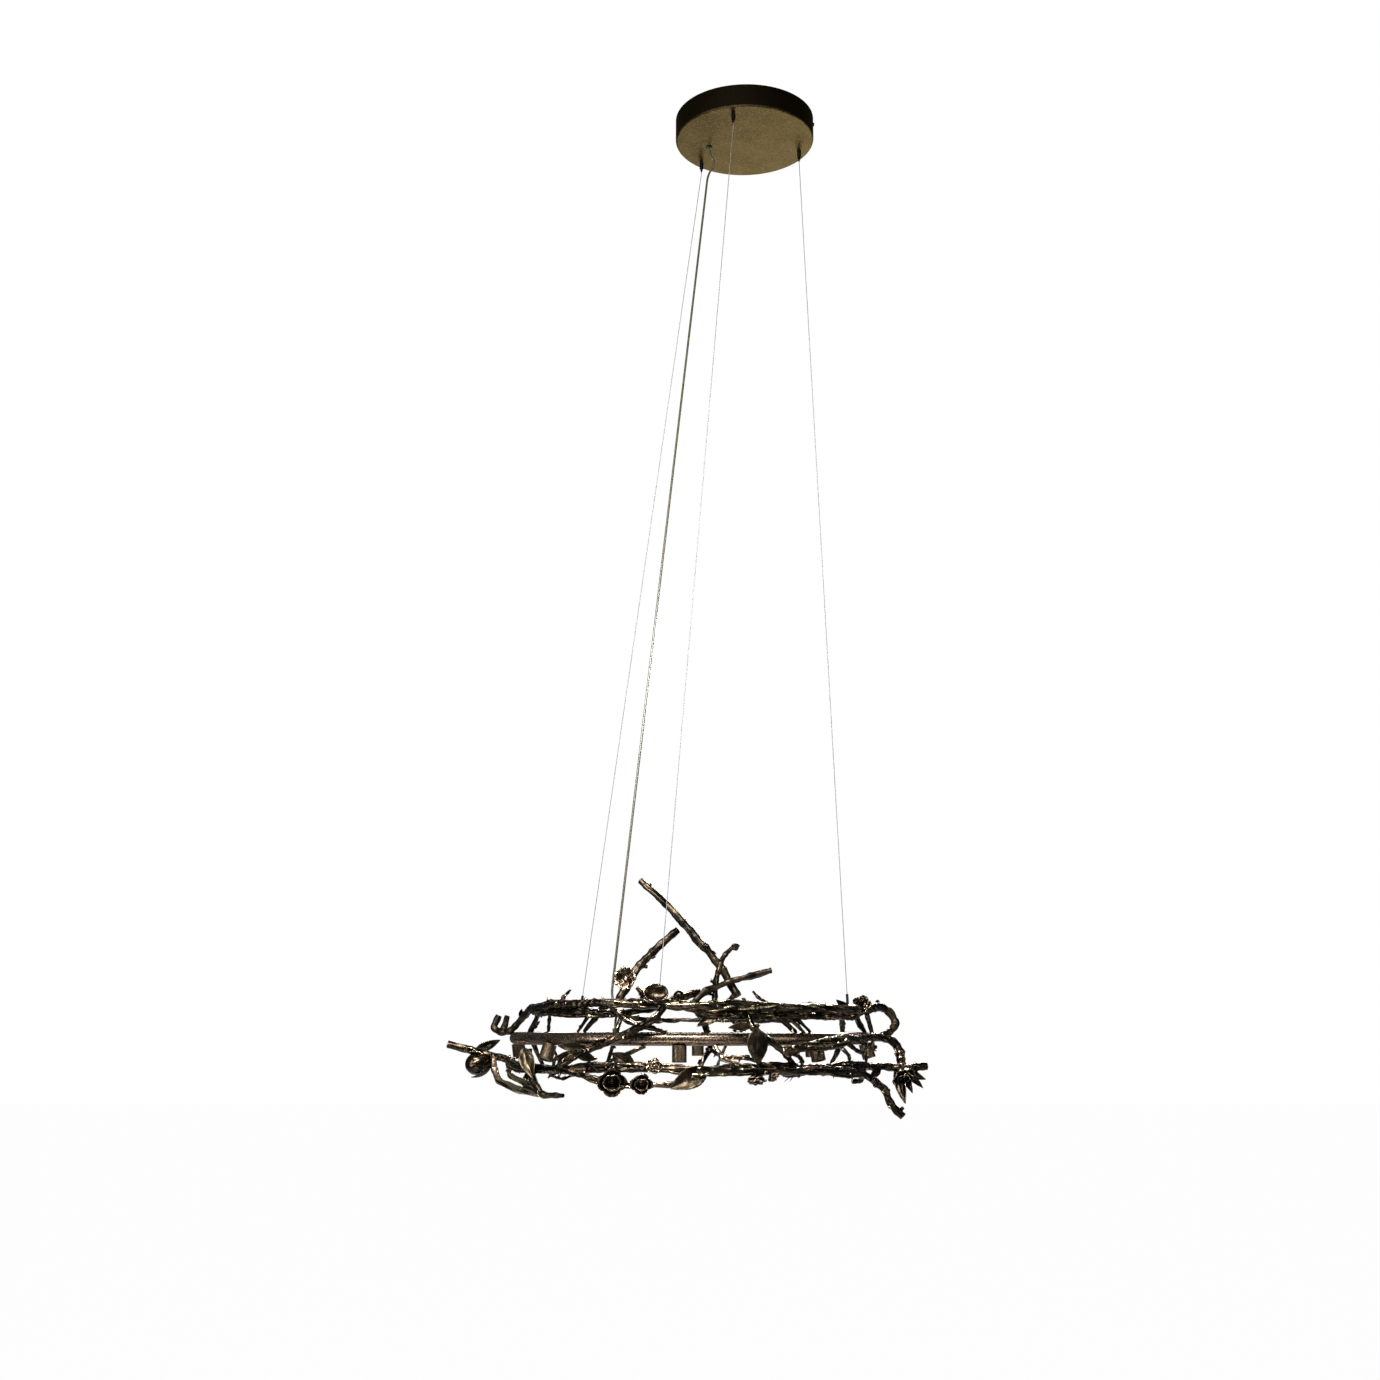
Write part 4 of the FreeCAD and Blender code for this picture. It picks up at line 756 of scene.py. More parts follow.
# a piece stands for the node of the same name, if there is one
def growPiece(name, twigs, seed, finish="castBronze", **changes):
    habit = {**growth, **changes}
    draw = random.Random(seed)
    line = bpy.data.curves.new(name, "CURVE")
    line.dimensions = "3D"
    line.bevel_mode = "OBJECT"
    line.bevel_object = barkSection
    line.use_fill_caps = True
    for twigName, points, start, end in twigs:
        growTwig(line, twigName, [placeOf(spot) for spot in points], start, end, habit, draw)
    makeActive(linkPiece(name, line))
    bpy.ops.object.convert(target="MESH")
    piece = bpy.context.object
    mendFaces(piece, growth["merge"] * mm)
    castSkin(piece, habit["voxel"], habit["rounds"], habit["lumps"], habit["pits"])
    node = "".join("_" + letter.lower() if letter.isupper() else letter for letter in name)
    finishPiece(piece, finish, node)


# upper tier
# the upper front tiers use tierBronzePaintedHighlight, a lit copy with painted highlight
growPiece("upperFrontBranch", [("upperFront", [
    upper(240.5, 12, 8), upper(248, 13, 6), upper(256, 12, 3.5), upper(266, 13, 1.5),
    upper(278, 12, 0.5), upper(291, 13, -1), upper(304, 12, -2), upper(318, 13, -3),
    upper(331, 12, -3), upper(343, 8, -3), upper(352, 9, -3)], "limb", "stout")],
    seed=11, finish="tierBronzePaintedHighlight", bumpEvery=34, bump=0.11, stubShare=0.2)
growPiece("upperSecondBranch", [("upperSecond", [
    ("upperFront", 267), upper(276, 3, -11), upper(288.5, 1, -13), upper(303, 5, -16),
    upper(318, 6, -16.5), upper(333, 4, -16), ("upperFront", 346)], "bough", "limb")],
    seed=12, finish="tierBronzePaintedHighlight", bumpEvery=26)
growPiece("upperLeftBranch", [("upperLeft", [
    upper(204, -10, -2), upper(214, -1, 0), upper(222.7, 6, 4), upper(233.5, 7, 5),
    ("upperFront", 243)], "limb", "bough")], seed=13, bumpEvery=13, bump=0.24, stubShare=0.35)
growPiece("upperLeftUnderBranch", [("upperLeftUnder", [
    ("upperLeft", 207), upper(214, 1, -11.5), upper(222, 5, -9), upper(233, 7, -9),
    upper(243, 5, -12), upper(251, 0, -11), upper(257, -12, -5), upper(262, -18, 1),
    upper(265, -19, 4)], "bough", "twig")], seed=14, bumpEvery=20)
growPiece("leftHookBranch", [
    ("leftHook", [("upperLeft", 209), upper(199, -18, -2), upper(192, -18, -11),
                  onTube(187.3, 38, "limb", 2), (184.8, 29, 10),
                  (183.2, 44, 19), (183.4, 34, 44)], "bough", "bough"),
    ("leftProng", [(184.8, 29, 10), (184.8, 21, 25), (184.8, 17, 43)],
     "bough", "twig")], seed=15, finish="darkBronze", bumpEvery=17, bump=0.17, stubShare=0,
    thornShare=0, strands=False)
growPiece("upperBackLeftBranch", [("upperBackLeft", [
    ("leftHook", 197), upper(186, -30, -3), upper(176, -32, 0), upper(164, -22, 1),
    upper(150, -12, 2), upper(134, -10, 1), upper(121, -6, -6), upper(110, 0, -19),
    upper(99, 2, -22)], "bough", "twig")], seed=16, bumpEvery=24)
growPiece("upperBackRightBranch", [("upperBackRight", [
    ("upperBackLeft", 104), upper(92, 2, -21), upper(78, -1, -22), upper(64, 1, -23),
    upper(50, 0, -21), upper(36, -5, -8), upper(24, -8, 0), upper(13, -8, 2), upper(2, -4, 0),
    ("upperFront", 351)], "sprig", "bough")], seed=17, bumpEvery=26)
print("upper tier has grown")

# lower tier
growPiece("lowerFrontBranch", [("lowerFront", [
    lower(228, 3, -3), lower(237, 8, -1), lower(249, 12, 1), lower(260, 22, 1.5),
    lower(273, 23, 0), lower(285, 18, -2), lower(298, 15, -4), lower(309, 20, -5),
    lower(320, 20, -6), lower(332, 12, -9), lower(343, 4, -11)], "bough", "limb")],
    seed=21, bumpEvery=24)
growPiece("lowerLeftBranch", [("lowerLeft", [
    (187.3, 131, -11), (187.9, 97, -20), (188.7, 55, -30),
    lower(192, 21, 13), lower(203, 18, 5), lower(215, 20, 0), lower(229, 19, -1),
    ("lowerFront", 243)], "limb", "bough")], seed=22, bumpEvery=30)
growPiece("lowerDipBranch", [("lowerDip", [
    ("lowerLeft", 227), lower(234, 24, -5), lower(240, 26, -13), lower(247, 27, -20),
    lower(256, 27, -26), lower(264, 28, -25), lower(270.5, 27, -15), ("lowerFront", 277)],
    "twig", "sprig")], seed=23, bumpEvery=20)
growPiece("lowerRightBranch", [("lowerRight", [
    ("lowerFront", 284), lower(292, 5, 2), lower(305, -2, 2), lower(318, -2, 1.5),
    lower(330, 1, 0.5), lower(341, 6, 0), lower(350, 14, -1), (352.6, 44, -54),
    (353, 72, -57), (354, 98, -55), (355, 121, -53)],
    "twig", "limb")], seed=24, bumpEvery=17, bump=0.2, stubShare=0.35)
growPiece("lowerBackLeftBranch", [("lowerBackLeft", [
    ("lowerLeft", 194), lower(183, -2, -7), lower(170, 2, -10), lower(155, -4, -11),
    lower(140, 1, -13), lower(125, -5, -12), lower(112, 0, -13), lower(100, -4, -11)],
    "bough", "twig")], seed=25, bumpEvery=26)
growPiece("lowerBackRightBranch", [("lowerBackRight", [
    ("lowerBackLeft", 107), lower(102.5, 11, -19), lower(92, 8, -16), lower(80, -2, -12),
    lower(65, 3, -13), lower(50, -3, -13), lower(35, 2, -12), lower(20, -3, -12),
    lower(6, 1, -10), lower(354, -2, -7), ("lowerRight", 344)], "sprig", "bough")],
    seed=26, bumpEvery=24)
print("lower tier has grown")

# twigs that cross the tube from one tier to the other
growPiece("longCrossTwig", [("longCross", [
    ("upperFront", 263), (260, 21, 34), (256, 21, 21),
    onTube(249.8, 72, "twig"), (243.5, 18, -10), (236.5, 21, -25),
    ("lowerLeft", 228)], "bough", "limb")], seed=31, bumpEvery=19)
growPiece("leftCrossTwigs", [
    ("over", [("upperFront", 245.5), (251, 7, 32), (256, 10.5, 22),
              onTube(263.5, 14, "twig", 3)], "twig", "sprig"),
    ("short", [("upperLeftUnder", 242), onTube(236, 0, "twig", 3)], "twig", "sprig"),
    ("beside", [("upperLeftUnder", 239), onTube(233, -12, "sprig", 3)], "sprig", "stem"),
    ("down", [onTube(257, 155, "sprig", 3), (250, 11, -28), ("lowerFront", 240)],
     "sprig", "stem")], seed=32, bumpEvery=22)
innerAxis = [("upperSecond", 271.5), (274.5, -14, 34), onTube(276.5, -84, "twig"),
             (276.5, -14, -18), (274, -2, -36), ("lowerFront", 273)]
growPiece("centreCrossTwigs", [
    ("inner", innerAxis, "twig", "sprig"),
    ("slant", [innerAxis[3], ("lowerFront", 286)], "sprig", "stem"),
    ("falling", [("upperSecond", 287.5), (288.2, 17, 20),
                 onTube(293, 88, "bough"), (299, 17, -27), ("lowerRight", 304)],
     "bough", "twig")], seed=33, bumpEvery=20)
growPiece("rightHookBranch", [("rightHook", [
    ("falling", 297.5), (304, 24, -14), (312, 29, -4),
    (321, 24, 0), onTube(331, 90, "bough"), (342, 19, 3), (349, 24, 3),
    (352.8, 42, 1), (354.2, 60, -8), (354.6, 71, -27),
    ("lowerRight", 353)], "bough", "limb")], seed=34, finish="paleBronze", bumpEvery=12,
    bump=0.26, stubShare=0.05)
growPiece("rightLoopBranch", [("rightLoop", [
    ("upperFront", 349), (353.4, 33, 61), (355.4, 53, 50),
    (355.7, 64, 28), (354.3, 52, 12), ("rightHook", 350.5)],
    "limb", "bough")], seed=35, finish="darkBronze", bumpEvery=12, bump=0.24, stubShare=0.1)
bundle = [(f"bundle{number + 1}", [("upperSecond", angle),
                                   onTube(angle + 7, -10 + 10 * number, "stem", 2)],
           "sprig", "stem") for number, angle in enumerate((298, 300.5, 303))]
bundle += [("bundle4", [("upperSecond", 299.5), (303.5, 12, 24), (306, 13, 9)],
            "sprig", "stem"),
           ("bundle5", [("upperSecond", 296), (299, 14, 26), (301.5, 14, 12)],
            "stem", "stem")]
growPiece("rightCrossTwigs", bundle + [
    ("diagonal", [("upperSecond", 336), onTube(346, 35, "sprig", 3)], "twig", "sprig"),
    ("upright", [("upperFront", 347), ("rightHook", 346.5)], "twig", "sprig")],
    seed=36, bumpEvery=24)
backCrossings = [(162, 152, 90, "upperBackLeft", "lowerBackLeft"),
                 (116, 122, -90, "upperBackLeft", "lowerBackLeft"),
                 (74, 64, 90, "upperBackRight", "lowerBackRight"),
                 (22, 32, 90, "upperBackRight", "lowerBackRight")]
growPiece("backCrossTwigs", [
    (f"backTwig{number}", [(above, high), onTube((high + low) / 2, side, "twig"),
                           (below, low)], "twig", "sprig")
    for number, (high, low, side, above, below) in enumerate(backCrossings, 1)],
    seed=37, bumpEvery=20)
print("crossing twigs have grown")

# hanging clusters and the sprays on top
growPiece("leftStemBranch", [("leftStem", [
    (216.5, 29, -18), (216.6, 29, -46), (219.3, 28, -75),
    (223.5, 26, -100), (229, 23, -99), (231.5, 22, -99)],
    "stout", "sprig")], seed=41, finish="darkBronze", bumpEvery=22, stubShare=0, thornShare=0,
    strands=False)
# the left loop bars use barBronzePaintedHighlight, a lit copy with painted highlight
growPiece("leftLoopTwigs", [
    ("leftLoop", [("lowerLeft", 190), (193, 43, -59), (196.5, 36, -79),
                  (209, 22, -93), partway("leftStem", 2, 0.85)], "bough", "limb"),
    ("leftInner", [("lowerLeft", 194.5), (200, 20, -68), (212, 20, -79),
                   partway("leftStem", 2, 0.4)], "twig", "bough")],
    seed=42, finish="barBronzePaintedHighlight", bumpEvery=38, bump=0.07, stubShare=0, thornShare=0, strands=False)
growPiece("rightDropTwigs", [
    ("rightDrop", [("lowerFront", 340.5), (345.7, 24, -77),
                   (346.5, 44, -95), (346.6, 48, -116),
                   (347, 60, -131), (347.5, 75, -146)], "twig", "limb"),
    ("rightRough", [partway("lowerFront", 9, 0.8), (341.5, 4, -78),
                    (340.3, -14, -79)], "sprig", "twig")], seed=43, bumpEvery=19)
growPiece("tallSprayBranch", [("tallSpray", [
    (249.9, -74, 288), (260.6, -66, 245), (270.2, -50, 193),
    (275.4, -39, 162), (280.4, -25, 127), (285, -6, 74)],
    "bough", "limb")], seed=44, finish="darkBronze", bumpEvery=28, bump=0.2, thornShare=0,
    pits=0.03)
crossing = partway("tallSpray", 4, 0.5)
forkCrossing = partway("tallSpray", 3, 0.9)
growPiece("lowSprayBranches", [
    ("leftSpray", [("upperFront", 248.5), (252.2, -20, 122),
                   (259.4, -46, 168), (265.6, -64, 195)], "limb", "bough"),
    ("rightSpray", [("upperFront", 270), shifted(along("upperFront", 275), 1, 26),
                    shifted(crossing, 11.2, 2), (295, 9, 121)], "twig", "twig"),
    ("forkSpray", [("upperFront", 277), (278.3, -12, 104),
                   shifted(forkCrossing, 9, 2), (282, -31, 149),
                   (285, -37, 163)], "twig", "sprig"),
    ("shortSpray", [("upperFront", 279.8), partway("tallSpray", 4, 0.9)], "twig", "sprig")],
    seed=45, finish="darkBronze", bumpEvery=22, bump=0.2, thornShare=0, pits=0.03)

# long strands run beside the tiers, leaving a twig at one angle and joining it at another
strandPlan = [
    ("upperFront", 250, 273, 4, 9), ("upperFront", 300, 327, -7, 8),
    ("upperSecond", 270, 301, 4, -8), ("upperSecond", 296, 330, 7, 8),
    ("upperLeft", 215, 240, 8, 6), ("upperLeftUnder", 220, 250, 5, -7),
    ("lowerFront", 244, 271, -6, 8), ("lowerFront", 262, 291, 7, -8),
    ("lowerFront", 300, 327, 8, 7), ("lowerRight", 295, 328, 6, -7),
    ("lowerRight", 318, 346, 7, 8), ("lowerDip", 238, 262, 5, -7), ("lowerLeft", 196, 227, 6, -8),
    ("upperBackLeft", 128, 172, -7, 8), ("upperBackRight", 40, 84, 7, 8),
    ("lowerBackLeft", 118, 160, 7, -8), ("lowerBackRight", 30, 78, -7, -8),
]


def besideTwig(name, start, end, out, up):
    points = [(name, start)]
    for share, sway in ((0.14, 0.8), (0.38, 1.15), (0.62, 0.9), (0.86, 0.8)):
        points.append(shifted(along(name, start + (end - start) * share), out * sway, up * sway))
    return points + [(name, end)]


growPiece("windingStrands", [
    (f"strand{number}", besideTwig(*plan), "stem" if number % 3 else "sprig", "stem")
    for number, plan in enumerate(strandPlan)],
    seed=46, bumpEvery=24, bump=0.2, strands=False, voxel=1.25)
lowerPlan = [
    ("lowerFront", 231, 259, 7, 9), ("lowerFront", 276, 306, -7, 9),
    ("lowerFront", 313, 340, 7, -8), ("lowerRight", 288, 306, 8, 8),
    ("lowerRight", 320, 345, -7, 7), ("upperFront", 272, 300, 7, 8), ("lowerLeft", 206, 226, 7, 6),
]
growPiece("lowerStrands", [
    (f"lowerStrand{number}", besideTwig(*plan), "sprig", "stem")
    for number, plan in enumerate(lowerPlan)],
    seed=50, bumpEvery=20, bump=0.24, strands=False, voxel=1.25)
growPiece("sprayStrands", [
    ("rope1", [("upperFront", 263), (266, 14, 72), (270.5, 12, 82),
               partway("rightSpray", 1, 0.3)], "sprig", "stem"),
    ("rope2", [("upperFront", 266), (268.5, 10, 70), (272.5, 6, 78),
               partway("rightSpray", 1, 0.6)], "sprig", "stem"),
    ("budStem", [("upperFront", 256), (256.5, 16, 78), (254.8, 16, 91)],
     "sprig", "sprig")], seed=47, bumpEvery=16, bump=0.2, strands=False)
growPiece("lowRightTwigs", [
    ("lowRight1", [("rightHook", 316.5), (319.5, 22, -14), (325, 20, -30),
                   ("lowerRight", 331)], "sprig", "stem"),
    ("lowRight2", [("falling", 298.5), (302, 19, -26), (305, 14, -38),
                   ("lowerRight", 307)], "sprig", "stem"),
    ("lowRight3", [("rightHook", 336), (338, 20, -18), (341, 14, -34),
                   ("lowerRight", 344)], "sprig", "stem"),
    ("hookRope", [("rightHook", 301), (306, 34, -17), (312, 40, -14),
                  (319, 34, -9), ("rightHook", 327)], "twig", "sprig"),
    ("hookLoop1", [("rightHook", 320), (322.5, 31, -12), (326, 33, -23),
                   (330, 29, -25), (333, 27, -13), ("rightHook", 335.5)],
     "sprig", "stem"),
    ("hookLoop2", [("rightHook", 331), (333.5, 32, -13), (337, 31, -21),
                   (341, 29, -19), ("rightHook", 345)], "sprig", "stem"),
    ("lowCentre1", [("slant", 280), (285, 18, -30), (292, 20, -42),
                    ("lowerFront", 297)], "sprig", "stem"),
    ("lowCentre2", [("inner", 275.4), (279, 16, -34), (284, 20, -42),
                    ("lowerFront", 289)], "sprig", "stem")],
    seed=49, finish="paleBronze", bumpEvery=12, bump=0.28, strands=False)
growPiece("underTubeTwigs", [
    ("under1", [("longCross", 243), (238, 25, -22), (232, 26, -26),
                (228, 24, -36), ("lowerLeft", 226.5)], "sprig", "stem"),
    ("under2", [("longCross", 238), (234, 28, -30), (230.5, 26, -40),
                ("lowerLeft", 228)], "sprig", "stem")],
    seed=48, finish="paleBronze", bumpEvery=9, bump=0.3, strands=False)
growPiece("backSprigs", [
    ("backSprig1", [("upperBackLeft", 146), (142, -4, 82), (137, 4, 98)],
     "twig", "stem"),
    ("backSprig2", [("upperBackRight", 56), (60, 6, 66), (64, -4, 84),
                    (66, -8, 97)], "twig", "stem"),
    ("backCross1", [("upperBackLeft", 152), onTube(146, 88, "sprig"),
                    ("lowerBackLeft", 141)], "sprig", "stem"),
    ("backCross2", [("upperBackRight", 70), onTube(76, 90, "sprig"),
                    ("lowerBackRight", 80)], "sprig", "stem"),
    ("backLow1", [("lowerBackLeft", 150), (146, 8, -76), (140, 4, -86),
                  ("lowerBackLeft", 131)], "sprig", "stem"),
    ("backLow2", [("lowerBackRight", 40), (46, 6, -76), (53, 2, -82),
                  ("lowerBackRight", 60)], "sprig", "stem")],
    seed=51, bumpEvery=16, bump=0.24, strands=False)
print("clusters and sprays have grown")


# a blade is a grid shaped into a pointed leaf: folded at its midrib, toothed, veined and curled
def makeBlade(name, shape):
    blade = makeGrid(shape)
    blade.name = name
    length, width = shape["length"] * mm, shape["width"] * mm
    for corner in blade.data.vertices:
        share = (corner.co.x + 1) / 2
        side = corner.co.y
        outline = math.sin(math.pi * share ** shape["fullness"]) ** 0.8 if 0 < share < 1 else 0.0
        notch = abs(math.sin(share * math.pi * shape["toothCount"]))
        teeth = 1 + shape["teeth"] * notch * abs(side)
        reach = width / 2 * max(outline, 0.03) * teeth
        ripple = math.sin((share * shape["veins"] - abs(side) * shape["slant"]) * math.pi)
        vein = shape["vein"] * mm * ripple
        fold = abs(side) * reach * shape["fold"]
        curl = shape["curl"] * length * share * share
        twist = math.radians(shape["twist"]) * (share - 0.3)
        across = side * reach * math.cos(twist) - fold * math.sin(twist)
        lift = side * reach * math.sin(twist) + fold * math.cos(twist)
        dent = noise.noise((share * 3.1 + shape["twist"], side * 1.7, 0))
        crumple = dent * shape["crumple"] * length
        corner.co = (length * share, across,
                     lift + curl + crumple * outline + vein * abs(side) * outline)
    applyModifier(blade, "SOLIDIFY", thickness=shape["wall"] * mm, offset=0)
    applyModifier(blade, "SUBSURF", levels=1, render_levels=1)
    return blade


def placeBlade(blade, foot, tip, face):
    ahead = (tip - foot).normalized()
    up = (face - ahead * face.dot(ahead)).normalized()
    across = up.cross(ahead)
    for corner in blade.data.vertices:
        corner.co = foot + ahead * corner.co.x + across * corner.co.y + up * corner.co.z
    mendFaces(blade)
    shadeSmooth(blade)


leafShape = {"rows": 26, "columns": 10, "fullness": 0.8, "teeth": 0.16, "toothCount": 11,
             "vein": 0.45, "veins": 9, "slant": 2.2, "fold": 0.35, "curl": 0.06, "crumple": 0.03,
             "wall": 1.7, "twist": 0}
toViewer = Vector((0, -1, 0))
leafPlan = {
    "strapLeaf": ((215.6, 36, -16), (221.5, 37, -72), 26, 10),
    "crestLeaf": ((188.9, 78, -24), (186.2, 30, -4), 17, 50),
    "domeLeaf": (("lowerFront", 254), (247.5, 16, -24), 28, -20),
    "broadLeaf": (("lowerFront", 275), (264.8, 40, -84), 34, 15),
    "bladeLeaf": ((289.3, 22, 18), (289, 27, -44), 34, -15),
    "hangingLeaf": (partway("lowerRight", 7, 0.6), (348.3, 79, -124), 20, 30),
    "rightLeaf1": (partway("lowerRight", 7, 0.95), (353.2, 118, -78), 16, 55),
    "rightLeaf2": (partway("lowerRight", 8, 0.05), (353.8, 112, -94), 14, -35),
    "rightLeaf3": (partway("lowerRight", 7, 0.8), (351.5, 92, -104), 18, -70),
    "dropLeaf1": (partway("lowerRight", 6, 0.6), (341.5, 16, -82), 14, 65),
    "dropLeaf2": (partway("rightDrop", 1, 0.1), (340, 30, -86), 12, -45),
    "topLeaf": (("upperFront", 339), (333.5, 14, 74), 13, 60),
    "forkLeaf": (partway("forkSpray", 3, 0.8), (287.5, -37, 168), 13, 70),
    "bractLeaf": (("upperSecond", 279), (272, 6, 22), 18, 40),
    "tangleLeaf1": (("longCross", 240), (230, 26, -12), 17, -60),
    "tangleLeaf2": (("longCross", 236), (244, 26, -34), 16, 45),
    "flagLeaf": (("falling", 288.1), (281, 14, 20), 14, 60),
    "tipLeaf": (("upperFront", 328), (320, 10, 72), 12, -50),
    "backLeaf1": (("upperBackRight", 46), (39, 6, 68), 15, 40),
    "backLeaf2": (("lowerBackLeft", 158), (164, 12, -86), 17, -30),
    "backLeaf3": (("upperBackLeft", 126), (119, 8, 74), 16, 60),
}


def makeLeaves():
    for name, (foot, tip, width, twist) in leafPlan.items():
        foot, tip = placeOf(foot), placeOf(tip)
        length = (tip - foot).length / mm
        blade = makeBlade(name, {**leafShape, "length": length, "width": width, "twist": twist})
        placeBlade(blade, foot, tip, toViewer)
        finishPiece(blade, "leafBronze", "leaves")


makeLeaves()

# a bloom: a cup of overlapping petals with rolled rims, in rings round a bead
bloomShape = {
    "rows": 14, "columns": 12, "wall": 1.6, "foot": 0.2, "roll": 0.34, "rollFrom": 0.7,
    "rollSpan": 0.09, "overlap": 1.3, "lap": 1.1, "ruffle": 0.05, "waves": 4.5, "stagger": 0.37,
    "stand": 5, "beadSunk": 0.6, "stalk": 3, "stalkLength": 9, "calyx": 0.17,
    "skin": (0.75, 2, 0.8),
}
cupRings = ((5, 1.0, 0.8), (5, 0.72, 1.0), (3, 0.42, 0.95))
openRings = ((7, 1.0, 0.9), (6, 0.84, 0.7))
lobedRings = ((4, 1.0, 0.85), (3, 0.62, 0.9))
bloomPlan = {
    "sprayBloom": (shifted(partway("leftSpray", 0, 0.66), 5, 4), (-0.4, -1, 0.1), 44, 15, 5,
                   openRings, "rimBronze"),
    "dipBloom1": (shifted(along("lowerDip", 248), 0, 6), (0.1, -0.9, -0.35), 54, 26, 6,
                  lobedRings),
    "dipBloom2": (shifted(along("lowerDip", 256.5), 0, 14), (0.1, -0.8, -0.5), 42, 30, 8,
                  lobedRings),
    "centreBloom": (along("lowerFront", 289.5), (0, -0.4, -0.9), 36, 22, 6),
    "centreSideBloom": (shifted(along("lowerFront", 293.5), 2, 0), (0.5, -0.5, -0.7), 24, 16, 3),
    "rightBloom": (partway("lowerRight", 7, 0.9), (0.25, -0.65, -0.7), 50, 34, 8),
    "knotBloom": (shifted(along("lowerFront", 260.5), 3, 2), (-0.1, -0.9, 0.3), 30, 12, 4),
    "topBloom": (shifted(along("upperFront", 339.5), 3, 4), (-0.2, -0.9, 0.5), 38, 13, 4),
}


def makePetal(count, radius, depth):
    petal = makeGrid(bloomShape)
    halfSpan = math.pi / count * bloomShape["overlap"]
    for corner in petal.data.vertices:
        share = (corner.co.x + 1) / 2
        side = corner.co.y
        outline = max(0.02, math.sin(math.pi * (0.12 + 0.88 * share) ** 0.9)) ** 0.5
        turn = side * halfSpan * outline
        reach = radius * (bloomShape["foot"] + (1 - bloomShape["foot"]) * share ** 0.9)
        wave = math.sin(side * bloomShape["waves"] + count)
        ruffle = bloomShape["ruffle"] * radius * share * wave
        rolled = max(0, share - bloomShape["rollFrom"]) ** 2
        rim = bloomShape["roll"] * depth * rolled / bloomShape["rollSpan"]
        height = depth * share ** 1.25 - rim + ruffle + bloomShape["lap"] * mm * side
        corner.co = (reach * math.cos(turn), reach * math.sin(turn), height)
    applyModifier(petal, "SOLIDIFY", thickness=bloomShape["wall"] * mm, offset=0)
    return petal


def makeBloom(name, foot, facing, width, depth, bead, rings=cupRings, finish="petalBronze"):
    facing = Vector(facing).normalized()
    turn = facing.to_track_quat("Z", "Y")
    base = foot + facing * bloomShape["stand"] * mm
    parts = []
    for ring, (count, reach, height) in enumerate(rings):
        petal = makePetal(count, width / 2 * reach * mm, depth * height * mm)
        for number in range(count):
            spin = Matrix.Rotation(2 * math.pi * (number + bloomShape["stagger"] * ring) / count,
                                   4, "Z")
            parts.append(copyPiece(petal))
            parts[-1].data.transform(Matrix.Translation(base) @ turn.to_matrix().to_4x4() @ spin)
        bpy.data.objects.remove(petal)
    clearSelection()
    bpy.ops.mesh.primitive_uv_sphere_add(
        segments=20, ring_count=12, radius=bead * mm,
        location=base + facing * (bead * bloomShape["beadSunk"] * mm))
    parts.append(bpy.context.object)
    bpy.ops.object.transform_apply(location=True, rotation=True, scale=True)
    clearSelection()
    bpy.ops.mesh.primitive_cone_add(
        vertices=20, radius1=bloomShape["stalk"] * mm, radius2=width * bloomShape["calyx"] * mm,
        depth=bloomShape["stalkLength"] * mm, location=foot + facing * 3 * mm,
        rotation=turn.to_euler())
    parts.append(bpy.context.object)
    bpy.ops.object.transform_apply(location=True, rotation=True, scale=True)
    bloom = joinPieces(parts, name)
    castSkin(bloom, *bloomShape["skin"])
    finishPiece(bloom, finish, "flowers")


for bloomName, plan in bloomPlan.items():
    makeBloom(bloomName, *plan)
print("leaves and blooms are made")

# buds: a pod with seams; a mouth is dished in towards the viewer; sepals hug it from its foot
budPlan = {
    "cupBud": {"centre": shifted(along("upperFront", 260.4), 6, 20), "across": 46, "tall": 34,
               "axis": (0, 0, 1), "lobes": 6, "mouth": (0.05, -1, 0.2), "sepals": 4, "hug": 75},
    "roundBud": {"centre": shifted(partway("lowerLeft", 1, 0.6), 0, -22), "across": 44, "tall": 48,
                 "axis": (-1, -0.15, -0.1), "lobes": 5, "mouth": None, "sepals": 5, "hug": 118},
    "knotBud": {"centre": shifted(along("upperFront", 267), -3, 15), "across": 22, "tall": 24,
                "axis": (0.2, -0.3, 1), "lobes": 8, "mouth": None, "sepals": 3, "hug": 90},
}


podShape = {"segments": 72, "rings": 44, "seam": 0.08, "seamSharp": 0.35, "mouth": 0.5,
            "dish": 1.55, "rim": 0.10, "rimWidth": 0.09, "skin": (0.9, 3, 1.0)}


def makePod(name, bud, turnUp):
    clearSelection()
    bpy.ops.mesh.primitive_uv_sphere_add(segments=podShape["segments"],
                                         ring_count=podShape["rings"], radius=1)
    pod = bpy.context.object
    pod.name = name
    mouth = turnUp.inverted() @ Vector(bud["mouth"]).normalized() if bud["mouth"] else None
    for corner in pod.data.vertices:
        place = corner.co.copy()
        turn = math.atan2(place.y, place.x)
        flat = math.hypot(place.x, place.y)
        crease = 1 - abs(math.sin(bud["lobes"] * turn / 2)) ** podShape["seamSharp"]
        seam = 1 - podShape["seam"] * crease * flat
        if mouth:
            facing = place.dot(mouth)
            if facing > podShape["mouth"]:
                place -= mouth * (facing - podShape["mouth"]) * podShape["dish"]
                seam = 1
            rim = math.exp(-((facing - podShape["mouth"]) / podShape["rimWidth"]) ** 2)
            place *= 1 + podShape["rim"] * rim
        corner.co = Vector((place.x * seam, place.y * seam, place.z))
        corner.co.x *= bud["across"] / 2 * mm
        corner.co.y *= bud["across"] / 2 * mm
        corner.co.z *= bud["tall"] / 2 * mm
    return pod


sepalShape = {"rows": 16, "columns": 8, "wall": 1.6, "sway": 0.15, "spread": 0.55}


